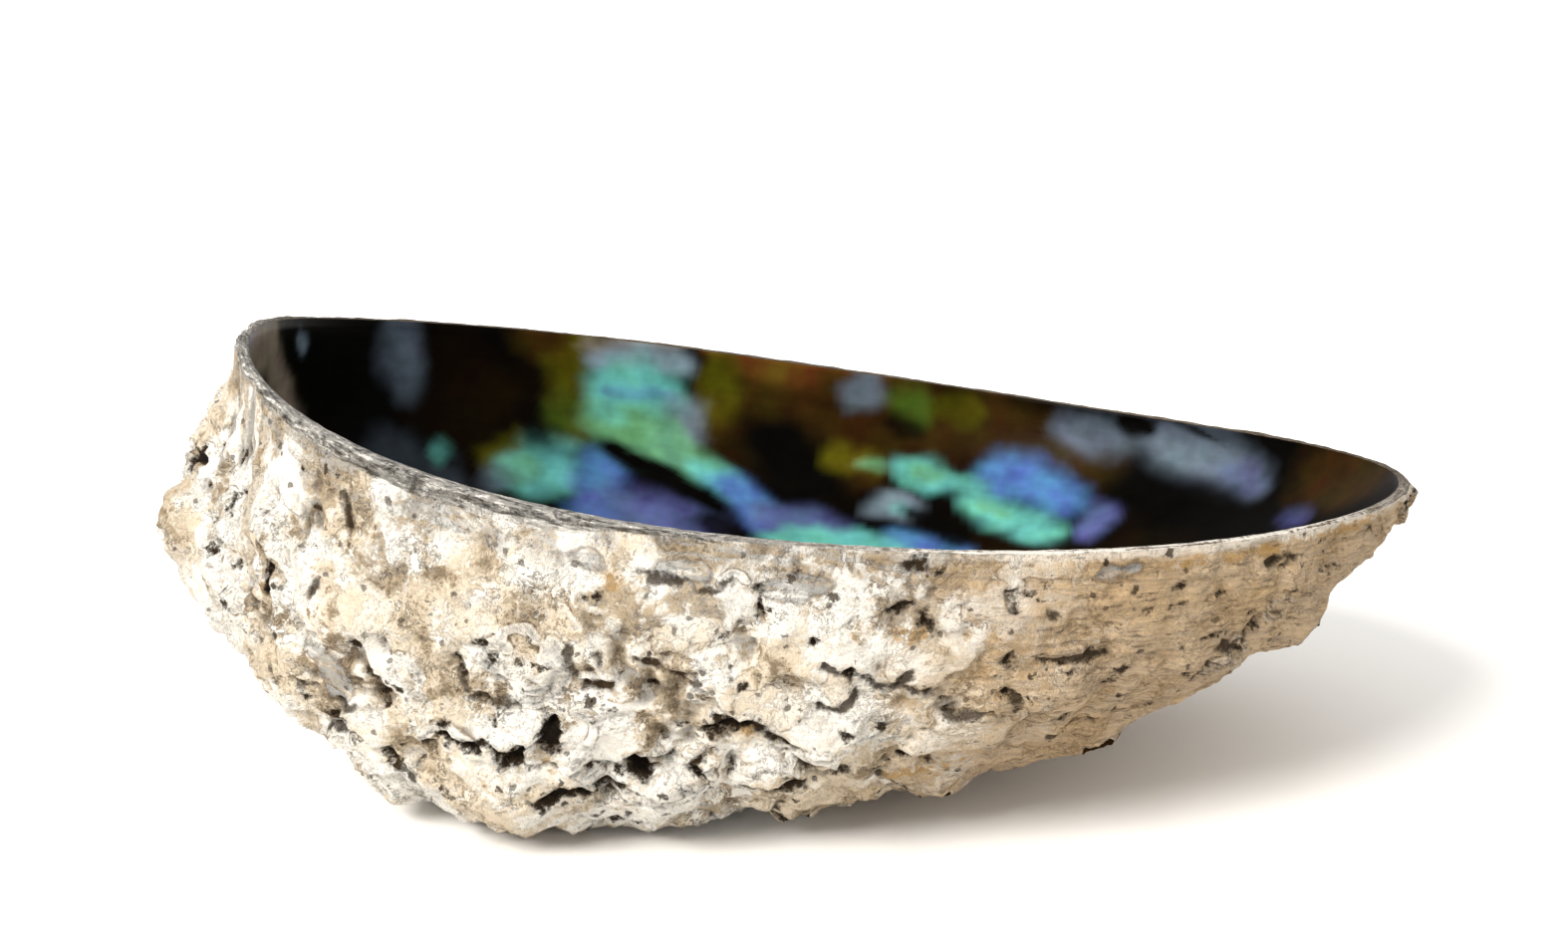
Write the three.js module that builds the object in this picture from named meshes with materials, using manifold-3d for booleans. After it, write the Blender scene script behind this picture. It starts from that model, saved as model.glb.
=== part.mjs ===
// An abalone shell lying on its back like a dish: one grown piece, open side up.
// +X runs to the broad growing end, -X to the spire, and -Y to the steep side with the breathing holes.
// Millimetres, +Z up. The origin is under the middle of the shell, on the surface that it rests on.
//
// The shell is a disc of two numbers bent into a bowl: u is the direction round the bowl, and v runs from
// 0 at its lowest point to 1 at the lip. The outside carries the relief of the worn crust. The inside is
// the same bowl, smooth, one shell thickness further in.
import * as THREE from "three";
import { mergeVertices } from "three/addons/utils/BufferGeometryUtils.js";
import Module from "manifold-3d";

const { sin, cos, exp, hypot, abs, sqrt, PI } = Math;
const { clamp, degToRad: radians, lerp, smoothstep } = THREE.MathUtils;

// Lip: the rim's outline from above, and its height, which climbs to the spire and sags on the way there.
const LIP_CENTRE_X = 4.8;
const LIP_CENTRE_Y = 0.1;
const LIP_HALF_LENGTH = 82.5;
const LIP_HALF_WIDTH = 60;
const LIP_SQUARENESS = 2.3;
const LIP_SQUARER_AT_SPIRE = 0.35;
const LIP_NARROWING = 0.03;
const LIP_HEIGHT = 46.8;
const LIP_CLIMB = 10.2;
const LIP_END_RISE = 2.6;
const LIP_WAVES = [
  { at: 200, width: 30, rise: 3.2 },
  { at: 240, width: 32, rise: -2.6 },
  { at: 315, width: 40, rise: 1.6 },
  { at: 20, width: 30, rise: -0.6 },
  { at: 55, width: 28, rise: -1.5 },
  { at: 145, width: 28, rise: -0.5 },
];

// Bowl: where its lowest point is, how boxy its wall is, and where the wall swells out past the lip.
const LOWEST_X = -12.4;
const LOWEST_Y = -8.3;
const LOWEST_Z = -0.4;
const WALL_POWER = 2.15;
const WALL_BOXIER = [
  { at: 180, width: 30, rise: 0.25 },
  { at: 210, width: 30, rise: 0.65 },
  { at: 238, width: 34, rise: 1.75 },
  { at: 300, width: 30, rise: 0.2 },
  { at: 345, width: 45, rise: -0.65 },
];
const BOXIER_FROM_V = 0.4;
const WALL_SWELLS = [
  { at: 187, width: 40, rise: 8 },
  { at: 255, width: 40, rise: -1.2 },
];
const SWELL_STEEPNESS = 1.7;

// Wall thickness, from the thin growing edge and the broad lip of the steep side to the old, heavy middle.
const THICKNESS_EDGE = 1.3;
const THICKNESS_BROAD_LIP = 2;
const BROAD_LIP_AT = 234;
const BROAD_LIP_WIDTH = 26;
const THICKNESS_MIDDLE = 4.6;

// Row of breathing holes: it winds down from the growing end to the lowest part, each turret smaller than
// the one before it. The newest holes are open, and the older ones have grown shut.
const ROW_START_U = 325.5;
const ROW_STEP_U = 18.5;
const ROW_START_V = 0.74;
const ROW_END_V = 0.33;
const ROW_CLOSING = 0.5;
const ROW_SHRINKING = 0.87;
const ROW_TURRETS = 7;
const ROW_OPEN_HOLES = 4;
const HOLE_DIAMETER = 6;
const HOLE_TAPER = 0.75;
const HOLE_LENGTH = 18;
const HOLE_SIDES = 12;
const TURRET_HEIGHT = 2.6;
const TURRET_RADIUS = 8;
const KEEL_HEIGHT = 1.2;
const KEEL_WIDTH_V = 0.075;
const KEEL_MIDDLE = 2.2;
const KEEL_REACH = 4.2;

// Spire: the knob at the old end, with the seam of its last turn wound round it.
const SPIRE_U = 190;
const SPIRE_V = 0.86;
const SPIRE_RADIUS = 20;
const SPIRE_HEIGHT = 4.4;
const SEAM_START_RADIUS = 24;
const SEAM_REACH = 33;
const SEAM_GROWTH = 0.3;
const SEAM_WIDTH = 1.7;
const SEAM_DEPTH = 1.4;

// Crust: lumps of old growth and the pits that borers left, spread evenly over the outside, and two broad
// lumps low on the steep side.
const LUMP_COUNT = 90;
const LUMP_RADIUS = [6, 13];
const LUMP_HEIGHT = [0.5, 2.3];
const PIT_COUNT = 60;
const PIT_RADIUS = [3, 5.5];
const PIT_DEPTH = [0.5, 1.7];
const BROAD_LUMPS = [
  { u: 221, v: 0.5, radius: 11, height: 1.8 },
  { u: 237, v: 0.44, radius: 13, height: 2.6 },
];
const GROWING_END_AT = 335;
const GROWING_END_WIDTH = 55;
const GROWING_END_SMOOTHER = 0.55;
const GROWTH_LEDGES = [
  { v: 0.62, rise: 1 },
  { v: 0.76, rise: 1.2 },
  { v: 0.89, rise: 1.1 },
];
const LEDGE_WIDTH = 0.045;
const RELIEF_FADES_FROM = 0.82;
const RELIEF_LEFT_AT_LIP = 0.12;

// Mesh: cells along a side of the square grid that is bent into each bowl. The smooth inside has half as
// many. Normals are measured over a short step that stays inside these limits of v.
const OUTSIDE_CELLS = 56;
const INSIDE_CELLS = OUTSIDE_CELLS / 2;
const NORMAL_STEP = 0.002;
const NORMAL_LIMITS = [0.02, 0.985];
const SHELL_COLOUR = 0xdccdb4;

// A bell over directions round the bowl, 1 at the direction `at`. Both it and the width are in degrees.
function bell(u, at, width) {
  const turn = u - radians(at);
  const nearest = Math.atan2(sin(turn), cos(turn));
  return exp(-((nearest / radians(width)) ** 2));
}

const bells = (u, list) => list.reduce((sum, b) => sum + b.rise * bell(u, b.at, b.width), 0);

// A number from 0 to 1 that looks random and is the same on every run.
function chance(index, kind) {
  const wave = sin(index * 127.1 + kind * 311.7) * 43758.5453;
  return wave - Math.floor(wave);
}

const between = ([low, high], share) => low + (high - low) * share;

// The lip is a rounded oval, squarer at the spire's end.
function lipPoint(u) {
  const c = cos(u);
  const s = sin(u);
  const power = LIP_SQUARENESS - LIP_SQUARER_AT_SPIRE * c;
  const reach = (abs(c) ** power + abs(s) ** power) ** (-1 / power);
  return new THREE.Vector3(
    LIP_CENTRE_X + LIP_HALF_LENGTH * reach * c,
    LIP_CENTRE_Y + LIP_HALF_WIDTH * reach * s * (1 - LIP_NARROWING * c),
    LIP_HEIGHT - LIP_CLIMB * c + LIP_END_RISE * cos(2 * u) + bells(u, LIP_WAVES),
  );
}

// The bare bowl. Each direction has a superellipse from the lowest point to the lip, and swells on the way.
function bowlPoint(u, v) {
  const angle = (v * PI) / 2;
  const power = WALL_POWER + bells(u, WALL_BOXIER) * smoothstep(v, 0, BOXIER_FROM_V);
  const out = sin(angle) ** (2 / power);
  const up = 1 - Math.max(cos(angle), 0) ** (2 / power);
  const lip = lipPoint(u);
  const dx = lip.x - LOWEST_X;
  const dy = lip.y - LOWEST_Y;
  const swell = (bells(u, WALL_SWELLS) * (4 * up * (1 - up)) ** SWELL_STEEPNESS) / hypot(dx, dy);
  return new THREE.Vector3(
    LOWEST_X + dx * (out + swell),
    LOWEST_Y + dy * (out + swell),
    lip.z * up + LOWEST_Z * (1 - v),
  );
}

// The bowl's outward direction, from two short steps along it.
function bowlNormal(u, v) {
  const inside = clamp(v, ...NORMAL_LIMITS);
  const round = bowlPoint(u + NORMAL_STEP, inside).sub(bowlPoint(u - NORMAL_STEP, inside));
  const upwards = bowlPoint(u, inside + NORMAL_STEP).sub(bowlPoint(u, inside - NORMAL_STEP));
  return round.cross(upwards).normalize();
}

// How far down the row a direction lies, counted in turrets, and the row's height there.
const rowCount = (u) => {
  const turn = radians(ROW_START_U) - u;
  return Math.atan2(sin(turn), cos(turn)) / radians(ROW_STEP_U);
};
const rowHeight = (count) => ROW_END_V + (ROW_START_V - ROW_END_V) * ROW_CLOSING ** count;

function turret(_, i) {
  const u = radians(ROW_START_U - i * ROW_STEP_U);
  const v = rowHeight(i);
  return { point: bowlPoint(u, v), normal: bowlNormal(u, v), size: ROW_SHRINKING ** i };
}

// Bumps of one kind, spread evenly over the bowl by the golden angle and then jittered.
function scatter(count, kind, radius, height) {
  const goldenAngle = PI * (3 - sqrt(5));
  return Array.from({ length: count }, (_, i) => {
    const u = i * goldenAngle + chance(i, kind);
    const v = sqrt((i + chance(i, kind + 1)) / count);
    return {
      centre: bowlPoint(u, v),
      radius: between(radius, chance(i, kind + 2)),
      height: between(height, chance(i, kind + 3)),
    };
  });
}

const turrets = Array.from({ length: ROW_TURRETS }, turret);
const turretBumps = turrets.map(({ point, size }) => ({
  centre: point,
  radius: TURRET_RADIUS * size,
  height: TURRET_HEIGHT * size,
}));
const pits = scatter(PIT_COUNT, 11, PIT_RADIUS, PIT_DEPTH);
const lumps = scatter(LUMP_COUNT, 1, LUMP_RADIUS, LUMP_HEIGHT);
const broadLumps = BROAD_LUMPS.map((b) => ({ ...b, centre: bowlPoint(radians(b.u), b.v) }));
const spire = {
  centre: bowlPoint(radians(SPIRE_U), SPIRE_V),
  normal: bowlNormal(radians(SPIRE_U), SPIRE_V),
};
spire.along = new THREE.Vector3(0, 0, 1).projectOnPlane(spire.normal).normalize();
spire.across = spire.normal.clone().cross(spire.along);

// A smooth mound that is 1 in its middle and 0 from its radius on.
function mound(distance, radius) {
  const left = Math.max(0, 1 - (distance / radius) ** 2);
  return left * left;
}

const sumOfMounds = (point, list) =>
  list.reduce((sum, b) => sum + b.height * mound(point.distanceTo(b.centre), b.radius), 0);

// The keel along the row of holes, highest in the row's middle.
function keelRelief(u, v) {
  const count = rowCount(u);
  const off = v - rowHeight(clamp(count, -1, ROW_TURRETS));
  return KEEL_HEIGHT * mound(count - KEEL_MIDDLE, KEEL_REACH) * exp(-((off / KEEL_WIDTH_V) ** 2));
}

// The spire's knob, less the seam that winds into its tip.
function spireRelief(point) {
  const from = point.clone().sub(spire.centre);
  const distance = from.length();
  const knob = SPIRE_HEIGHT * mound(distance, SPIRE_RADIUS);
  const angle = Math.atan2(from.dot(spire.across), from.dot(spire.along));
  const turns = Math.log(Math.max(distance, 1) / SEAM_START_RADIUS) / SEAM_GROWTH - angle;
  const toSeam = abs(turns - 2 * PI * Math.round(turns / (2 * PI))) * SEAM_GROWTH * distance;
  const seam = SEAM_DEPTH * mound(distance, SEAM_REACH) * exp(-((toSeam / SEAM_WIDTH) ** 2));
  return knob - seam;
}

// The growing end has less crust, and ridges that run along with the lip.
function crustRelief(point, u, v) {
  const growing = bell(u, GROWING_END_AT, GROWING_END_WIDTH);
  const crust = sumOfMounds(point, lumps) - sumOfMounds(point, pits);
  const ridge = (ledge) => ledge.rise * exp(-(((v - ledge.v) / LEDGE_WIDTH) ** 2));
  const ledges = GROWTH_LEDGES.reduce((sum, ledge) => sum + ridge(ledge), 0);
  return crust * (1 - GROWING_END_SMOOTHER * growing) + ledges * growing;
}

// How far the outside stands out from the bare bowl. It dies away towards the lip.
function relief(point, u, v) {
  const kept = lerp(1, RELIEF_LEFT_AT_LIP, smoothstep(v, RELIEF_FADES_FROM, 1));
  const grown = sumOfMounds(point, turretBumps) + keelRelief(u, v) + spireRelief(point);
  return kept * (crustRelief(point, u, v) + sumOfMounds(point, broadLumps) + grown);
}

// The outside, worn flat where it meets the surface that it rests on.
function outsidePoint(u, v) {
  const bare = bowlPoint(u, v);
  const point = bare.clone().addScaledVector(bowlNormal(u, v), relief(bare, u, v));
  point.z = Math.max(point.z, 0);
  return point;
}

function insidePoint(u, v) {
  const edge = THICKNESS_EDGE + THICKNESS_BROAD_LIP * bell(u, BROAD_LIP_AT, BROAD_LIP_WIDTH);
  const thickness = lerp(THICKNESS_MIDDLE, edge, v ** 3);
  return bowlPoint(u, v).addScaledVector(bowlNormal(u, v), -thickness);
}

// One bowl: a square grid bent to a disc, so that its outer edge is the lip, with its triangles facing
// outwards or, for the inside, inwards. Each cell is split along its line from the middle to the lip. The
// edge is listed in order round the bowl.
function bowlMesh(cells, place, faceOut) {
  const points = [];
  const edge = new Array(4 * cells);
  for (let row = 0; row <= cells; row++) {
    for (let column = 0; column <= cells; column++) {
      const a = (2 * column) / cells - 1;
      const b = (2 * row) / cells - 1;
      const v = Math.max(abs(a), abs(b));
      const u = v === 0 ? 0 : abs(a) >= abs(b)
        ? (PI / 4) * (b / a) + (a < 0 ? PI : 0)
        : PI / 2 - (PI / 4) * (a / b) + (b < 0 ? PI : 0);
      if (v === 1) edge[(Math.round((u * 2 * cells) / PI) + 4 * cells) % (4 * cells)] = points.length;
      points.push(place(u, v));
    }
  }
  const triangles = [];
  for (let row = 0; row < cells; row++) {
    for (let column = 0; column < cells; column++) {
      const p = row * (cells + 1) + column;
      const outwards = (2 * column + 1 - cells) * (2 * row + 1 - cells) > 0;
      const [k, l, m, n] = outwards
        ? [p, p + 1, p + cells + 2, p + cells + 1]
        : [p + 1, p + cells + 2, p + cells + 1, p];
      triangles.push(...(faceOut ? [k, m, l, k, n, m] : [k, l, m, k, m, n]));
    }
  }
  return { points, edge, triangles };
}

// The closed shell: outside, inside, and the lip's own edge, where two steps outside meet one inside.
function shellGeometry() {
  const outside = bowlMesh(OUTSIDE_CELLS, outsidePoint, true);
  const inside = bowlMesh(INSIDE_CELLS, insidePoint, false);
  const offset = outside.points.length;
  const triangles = [...outside.triangles, ...inside.triangles.map((i) => i + offset)];
  const steps = inside.edge.length;
  for (let k = 0; k < steps; k++) {
    const [first, middle, last] = [0, 1, 2].map((j) => outside.edge[(2 * k + j) % outside.edge.length]);
    const here = inside.edge[k] + offset;
    const next = inside.edge[(k + 1) % steps] + offset;
    triangles.push(first, middle, here, middle, next, here, middle, last, next);
  }
  const geometry = new THREE.BufferGeometry().setFromPoints([...outside.points, ...inside.points]);
  return geometry.setIndex(triangles);
}

// A breathing hole's cutter: a round plug along the bowl's normal, wider outside.
function holePlug({ point, normal, size }) {
  const radius = (HOLE_DIAMETER / 2) * size;
  const turn = new THREE.Quaternion().setFromUnitVectors(new THREE.Vector3(0, 1, 0), normal);
  return new THREE.CylinderGeometry(radius, radius * HOLE_TAPER, HOLE_LENGTH, HOLE_SIDES)
    .applyQuaternion(turn)
    .translate(point.x, point.y, point.z);
}

const wasm = await Module();
wasm.setup();

function solidFrom(geometry) {
  const bare = new THREE.BufferGeometry().setAttribute("position", geometry.getAttribute("position"));
  const merged = mergeVertices(bare.setIndex(geometry.index), 1e-4);
  return new wasm.Manifold(
    new wasm.Mesh({
      numProp: 3,
      vertProperties: new Float32Array(merged.attributes.position.array),
      triVerts: new Uint32Array(merged.index.array),
    }),
  );
}

function geometryFrom(solid) {
  const mesh = solid.getMesh();
  const geometry = new THREE.BufferGeometry();
  geometry.setAttribute("position", new THREE.BufferAttribute(mesh.vertProperties, 3));
  geometry.setIndex(new THREE.BufferAttribute(mesh.triVerts, 1));
  geometry.computeVertexNormals();
  return geometry;
}

const solid = turrets
  .slice(0, ROW_OPEN_HOLES)
  .reduce((made, place) => made.subtract(solidFrom(holePlug(place))), solidFrom(shellGeometry()));

const shell = new THREE.Mesh(
  geometryFrom(solid),
  new THREE.MeshStandardMaterial({ color: SHELL_COLOUR, roughness: 0.85, metalness: 0 }),
);
shell.name = "shell";

const abalone = new THREE.Group();
abalone.add(shell);

export default abalone;
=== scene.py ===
"""Abalone shell lying open side up: one piece with a worn crust outside, a grey lip and a nacre lining.

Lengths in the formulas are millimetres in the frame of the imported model: +X to the growing end, -Y to the
steep side with the breathing holes, +Z up. The mesh is written in metres.
"""
import bpy
import numpy as np
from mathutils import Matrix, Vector


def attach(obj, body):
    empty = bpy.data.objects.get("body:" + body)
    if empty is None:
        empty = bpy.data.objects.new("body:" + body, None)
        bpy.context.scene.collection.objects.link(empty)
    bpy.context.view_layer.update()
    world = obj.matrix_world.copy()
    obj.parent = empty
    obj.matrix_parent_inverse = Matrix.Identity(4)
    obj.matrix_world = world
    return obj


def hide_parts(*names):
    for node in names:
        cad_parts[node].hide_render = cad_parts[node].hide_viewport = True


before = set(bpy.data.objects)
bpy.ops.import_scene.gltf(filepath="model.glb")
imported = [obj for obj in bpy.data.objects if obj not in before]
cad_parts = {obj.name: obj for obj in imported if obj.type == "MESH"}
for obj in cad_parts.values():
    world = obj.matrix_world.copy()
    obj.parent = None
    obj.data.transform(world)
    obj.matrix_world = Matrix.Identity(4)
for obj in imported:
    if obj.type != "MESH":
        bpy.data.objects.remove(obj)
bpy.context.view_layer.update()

bl_info = {
    "name": "Abalone shell",
    "version": (1, 0, 0),
    "blender": (4, 5, 0),
    "location": "3D View > Sidebar > Abalone",
    "description": "Builds a weathered abalone shell with a nacre lining, and a plain stage for it",
    "category": "Add Mesh",
}

MM = 0.001
TURN = 2 * np.pi

# Bowl: the lip's outline and height, the lowest point, and how the wall climbs between them.
LIP_CENTRE = (4.8, 0.1)
LIP_HALF = (82.5, 60.0)
LIP_SQUARENESS = 2.3
LIP_SQUARER_AT_SPIRE = 0.35
LIP_NARROWING = 0.03
LIP_HEIGHT = 46.8
LIP_CLIMB = 10.2
LIP_END_RISE = 2.6
LIP_WAVES = [
    (200, 30, 3.2),
    (240, 32, -2.6),
    (315, 40, 1.6),
    (20, 30, -0.6),
    (55, 28, -1.5),
    (145, 28, -0.5),
]
LOWEST = (-12.4, -8.3, -0.4)
WALL_POWER = 2.15
WALL_BOXIER = [
    (180, 30, 0.25),
    (210, 30, 0.65),
    (238, 34, 1.75),
    (300, 30, 0.2),
    (345, 45, -0.65),
]
BOXIER_FROM_V = 0.4
WALL_SWELLS = [(187, 40, 8.0), (255, 40, -1.2)]
SWELL_STEEPNESS = 1.7
THICKNESS_EDGE = 1.3
THICKNESS_BROAD_LIP = 2.0
BROAD_LIP = (234, 26)
THICKNESS_MIDDLE = 4.6
THINNEST_WALL = 0.9
# Directions on the bowl are taken over a short step, between these two heights.
AXES_STEP = 0.002
AXES_V = (0.02, 0.985)

# Row of breathing holes, spire, lumps and pits of the crust, as in the solid.
ROW_START_U = 325.5
ROW_STEP_U = 18.5
ROW_V = (0.74, 0.33)
ROW_CLOSING = 0.5
ROW_SHRINKING = 0.87
ROW_TURRETS = 7
ROW_OPEN_HOLES = 4
HOLE_DIAMETER = 6.0
HOLE_TAPER = 0.75
# The plugs that cut the holes: sides, and how far they reach from the bowl either way.
HOLE_SIDES = 24
HOLE_REACH = 9.0
# Turret: radius, height. Keel: height, width in v, then its middle and reach along the row, in turrets.
TURRET = (8.0, 2.6)
KEEL = (1.2, 0.075, 2.2, 4.2)
# Spire: radius, height. Seam: first radius, growth, width, depth and reach of its spiral.
SPIRE_PLACE = (190, 0.86)
SPIRE = (20.0, 4.4)
SEAM = (24.0, 0.3, 1.7, 1.4, 33.0)
# Lumps and pits: how many, kind of chance, range of radii, range of heights.
# Broad lump: place, radius, height.
LUMPS = (90, 1, (6.0, 13.0), (0.5, 2.3))
PITS = (60, 11, (3.0, 5.5), (0.5, 1.7))
BROAD_LUMPS = [(221, 0.5, 11.0, 1.8), (237, 0.44, 13.0, 2.6)]
# Sides of the shell: direction of the middle, and width. The steep side has its first and last direction.
GROWING_END = (335, 55)
FOLDED_SIDE = (206, 20)
STEEP_SIDE = (198, 322)
# The grey band under the broad lip: its side, how far down it comes, and how much is taken off all round.
GREY_BAND = (233, 21)
GREY_BAND_HEIGHT = 2.3
GREY_BAND_EDGE = 0.4
GROWING_END_SMOOTHER = 0.55
GROWTH_LEDGES = [(0.62, 1.0), (0.76, 1.2), (0.89, 1.1)]
LEDGE_WIDTH = 0.045
RELIEF_FADES_FROM = 0.82
RELIEF_LEFT_AT_LIP = 0.12

# Mesh: rings from the lowest point to the lip. Each ring has RING_GROWTH points more than the one below it.
OUTSIDE_RINGS = 176
INSIDE_RINGS = 124
RING_GROWTH = 4
LIP_ROWS = 4
LIP_ARCH = 0.15
LIP_ROUGHNESS = 0.1
GROWTH_RADIUS = 70.0

# Places in the list of materials.
CRUST = 0
LIP = 1
NACRE = 2

# Noise: size of its largest lumps, layers, seed.
# The ground has scabs of two sizes, crumbs, folds and streaks of growth.
PLATE_NOISE = (11.0, 4, 20)
SCAB_NOISE = (4.5, 3, 40)
CRUMB_NOISE = (3.0, 3, 60)
FOLD_NOISE = (4.2, 2, 90)
STREAK_NOISE = (9.0, 3, 95)
# How the lines of growth are scaled for them: folds run down the wall and streaks round it.
FOLDS_RUN = (1, 1, 0.2)
STREAKS_RUN = (1, 1, 5.0)
# Levels at which the scabs step up, in standard deviations of their noise.
PLATE_LEVELS = (-1.0, -0.25, 0.5)
SCAB_LEVELS = (-0.5, 0.7)
# Borings: one at most in each cell of that size, and the radius of the widest.
BORE_CELL = 5.5
BORE_RADIUS = 0.75
# Distances to marks are kept up to this length.
FARTHEST = 9.0
# How far a point may lie off the plane of a mark.
MARK_DEPTH = 9.0

# Marks on the crust that can be told apart. Places are (direction in degrees, v), sizes are millimetres.
# Hollow: place, half length, half height, tilt in degrees, depth.
HOLLOWS = [
    (241.5, 0.727, 1.7, 1.9, 15, 2.2),
    (244.8, 0.772, 1.5, 2.5, -15, 2.0),
    (260.8, 0.764, 3.6, 1.0, 8, 1.6),
    (236.5, 0.742, 3.8, 0.8, -6, 1.8),
    (252.0, 0.662, 1.3, 2.2, 20, 1.6),
    (249.5, 0.612, 2.5, 0.7, 14, 1.3),
    (257.6, 0.640, 0.7, 2.2, 28, 1.3),
    (272.0, 0.626, 0.7, 0.7, 0, 1.0),
    (222.8, 0.690, 0.9, 0.8, 0, 1.2),
    (224.6, 0.661, 1.0, 0.8, 0, 1.2),
    (228.2, 0.632, 1.6, 0.9, -25, 1.2),
    (217.5, 0.918, 1.3, 3.3, 6, 1.2),
    (263.0, 0.968, 0.8, 2.7, 8, 1.4),
    (275.0, 0.946, 2.2, 0.6, 12, 0.8),
    (277.2, 0.924, 0.6, 1.7, 25, 0.8),
    (276.2, 0.993, 1.6, 0.6, 0, 0.6),
    (278.2, 0.986, 0.8, 0.6, 0, 0.6),
    (244.3, 0.600, 2.2, 0.8, 0, 1.2),
    (246.8, 0.580, 1.2, 0.8, 0, 1.2),
    (312.0, 0.800, 0.9, 0.8, 0, 0.9),
    (266.5, 0.560, 2.6, 0.7, 18, 1.3),
    (204.2, 0.940, 0.9, 1.3, 0, 0.7),
    (210.2, 0.950, 1.0, 1.0, 0, 0.7),
    (232.5, 0.986, 0.6, 0.6, 0, 0.5),
    (236.0, 0.975, 0.7, 0.6, 0, 0.5),
    (216.0, 0.997, 3.4, 0.8, 0, 0.5),
]
# Crack: the places that it runs through.
CRACKS = [
    [(223.0, 0.999), (224.2, 0.998), (226.0, 0.995), (227.0, 0.985)],
    [(227.0, 0.985), (224.8, 0.986), (222.2, 0.983)],
    [(253.0, 0.988), (256.2, 0.983), (258.8, 0.976), (260.8, 0.984), (261.8, 0.978)],
    [(252.5, 0.902), (254.7, 0.889), (257.8, 0.855)],
    [(246.8, 0.914), (247.2, 0.880)],
    [(248.0, 0.865), (250.2, 0.867)],
    [(268.8, 0.872), (271.0, 0.848), (272.0, 0.799), (270.8, 0.772), (268.8, 0.784)],
    [(272.4, 0.845), (273.8, 0.813), (275.5, 0.816), (276.5, 0.845)],
    [(275.5, 0.816), (278.5, 0.790), (280.5, 0.760)],
    [(237.0, 0.892), (238.0, 0.831), (242.5, 0.831)],
    [(266.5, 0.560), (268.2, 0.632), (271.2, 0.641), (273.5, 0.600)],
    [(269.0, 0.606), (271.2, 0.610)],
    [(257.3, 0.673), (258.2, 0.585)],
    [(261.0, 0.545), (265.2, 0.560)],
    [(274.5, 0.607), (278.5, 0.520)],
    [(287.8, 0.833), (291.5, 0.828), (294.8, 0.818)],
    [(308.2, 0.781), (312.0, 0.789), (313.0, 0.808)],
    [(309.5, 0.690), (307.8, 0.759)],
    [(296.0, 0.600), (298.5, 0.625), (301.0, 0.620)],
    [(311.0, 0.945), (313.0, 0.952), (314.5, 0.940), (312.6, 0.932)],
]
# Worm tube: place of its middle, radius of its curve, where its arc starts and how far it turns, half width.
TUBES = [
    (243.7, 0.890, 4.4, -110, 165, 0.8),
    (243.9, 0.892, 2.9, -120, 180, 0.7),
    (244.1, 0.894, 1.5, -120, 180, 0.6),
    (241.0, 0.902, 2.1, 50, 210, 0.9),
    (242.8, 0.921, 2.4, 20, 140, 0.6),
    (216.5, 0.952, 1.9, -15, 210, 0.7),
    (269.3, 0.628, 3.4, 50, 100, 0.9),
    (265.0, 0.567, 4.5, 60, 80, 0.8),
    (311.0, 0.768, 1.6, 0, 300, 0.7),
    (309.0, 0.745, 1.3, 90, 260, 0.6),
    (315.0, 0.835, 1.7, 30, 280, 0.6),
    (255.0, 0.610, 3.2, 200, 120, 0.8),
    (261.0, 0.980, 1.6, 20, 150, 0.6),
    (232.0, 0.850, 3.0, -60, 150, 0.6),
    (235.5, 0.700, 4.2, 40, 110, 0.9),
    (248.5, 0.700, 2.6, 100, 170, 0.7),
]
# Scar of a limpet, grey inside a thin brown line: place, half length, half height, tilt.
SCARS = [
    (248.5, 0.992, 3.3, 1.2, -4),
    (256.5, 0.990, 3.9, 1.3, -3),
    (266.0, 0.975, 4.6, 1.7, 2),
    (224.3, 0.795, 2.6, 4.0, 25),
    (223.0, 0.850, 1.8, 2.2, 0),
    (294.0, 0.975, 3.2, 0.9, 4),
]
# Flake or cemented shell, a smooth low plate: place, half length, half height, tilt, height.
FLAKES = [
    (283.0, 0.665, 6.6, 3.9, 8, 1.1),
    (264.5, 0.800, 4.6, 3.0, -10, 0.7),
    (270.6, 0.808, 2.0, 3.2, 15, 0.5),
    (278.0, 0.860, 5.6, 3.4, 10, 0.5),
    (287.0, 0.985, 6.0, 1.3, 3, 0.4),
    (239.0, 0.935, 4.2, 2.6, -10, 0.5),
    (229.0, 0.930, 4.5, 3.4, 20, 0.5),
    (257.0, 0.930, 5.0, 2.0, 6, 0.4),
]
# Ochre stain: place, half length, half height, tilt.
STAINS = [
    (282.3, 0.548, 5.4, 1.1, 10),
    (228.6, 0.630, 1.4, 1.0, -20),
    (309.0, 0.974, 13.0, 0.8, 0),
    (324.0, 0.976, 13.0, 0.8, 0),
    (216.5, 0.900, 1.2, 2.2, 0),
    (262.5, 0.745, 1.2, 0.8, 0),
    (244.6, 0.700, 1.2, 1.4, 0),
    (276.0, 0.905, 2.0, 0.9, 0),
    (250.0, 0.985, 3.0, 0.8, -6),
]
# Smudge with a soft edge, where the ground takes the earth colour more readily: place, half length, half
# height, tilt.
SMUDGES = [
    (217.5, 0.930, 2.6, 4.2, 10),
    (229.5, 0.965, 5.5, 2.2, -20),
    (251.0, 0.958, 6.0, 3.0, -5),
    (258.0, 0.968, 4.0, 2.4, 0),
    (276.0, 0.936, 4.4, 2.4, 10),
    (272.5, 0.840, 3.6, 3.0, 0),
    (231.5, 0.705, 6.5, 2.6, -5),
    (243.0, 0.745, 4.6, 3.2, 0),
]
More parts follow.
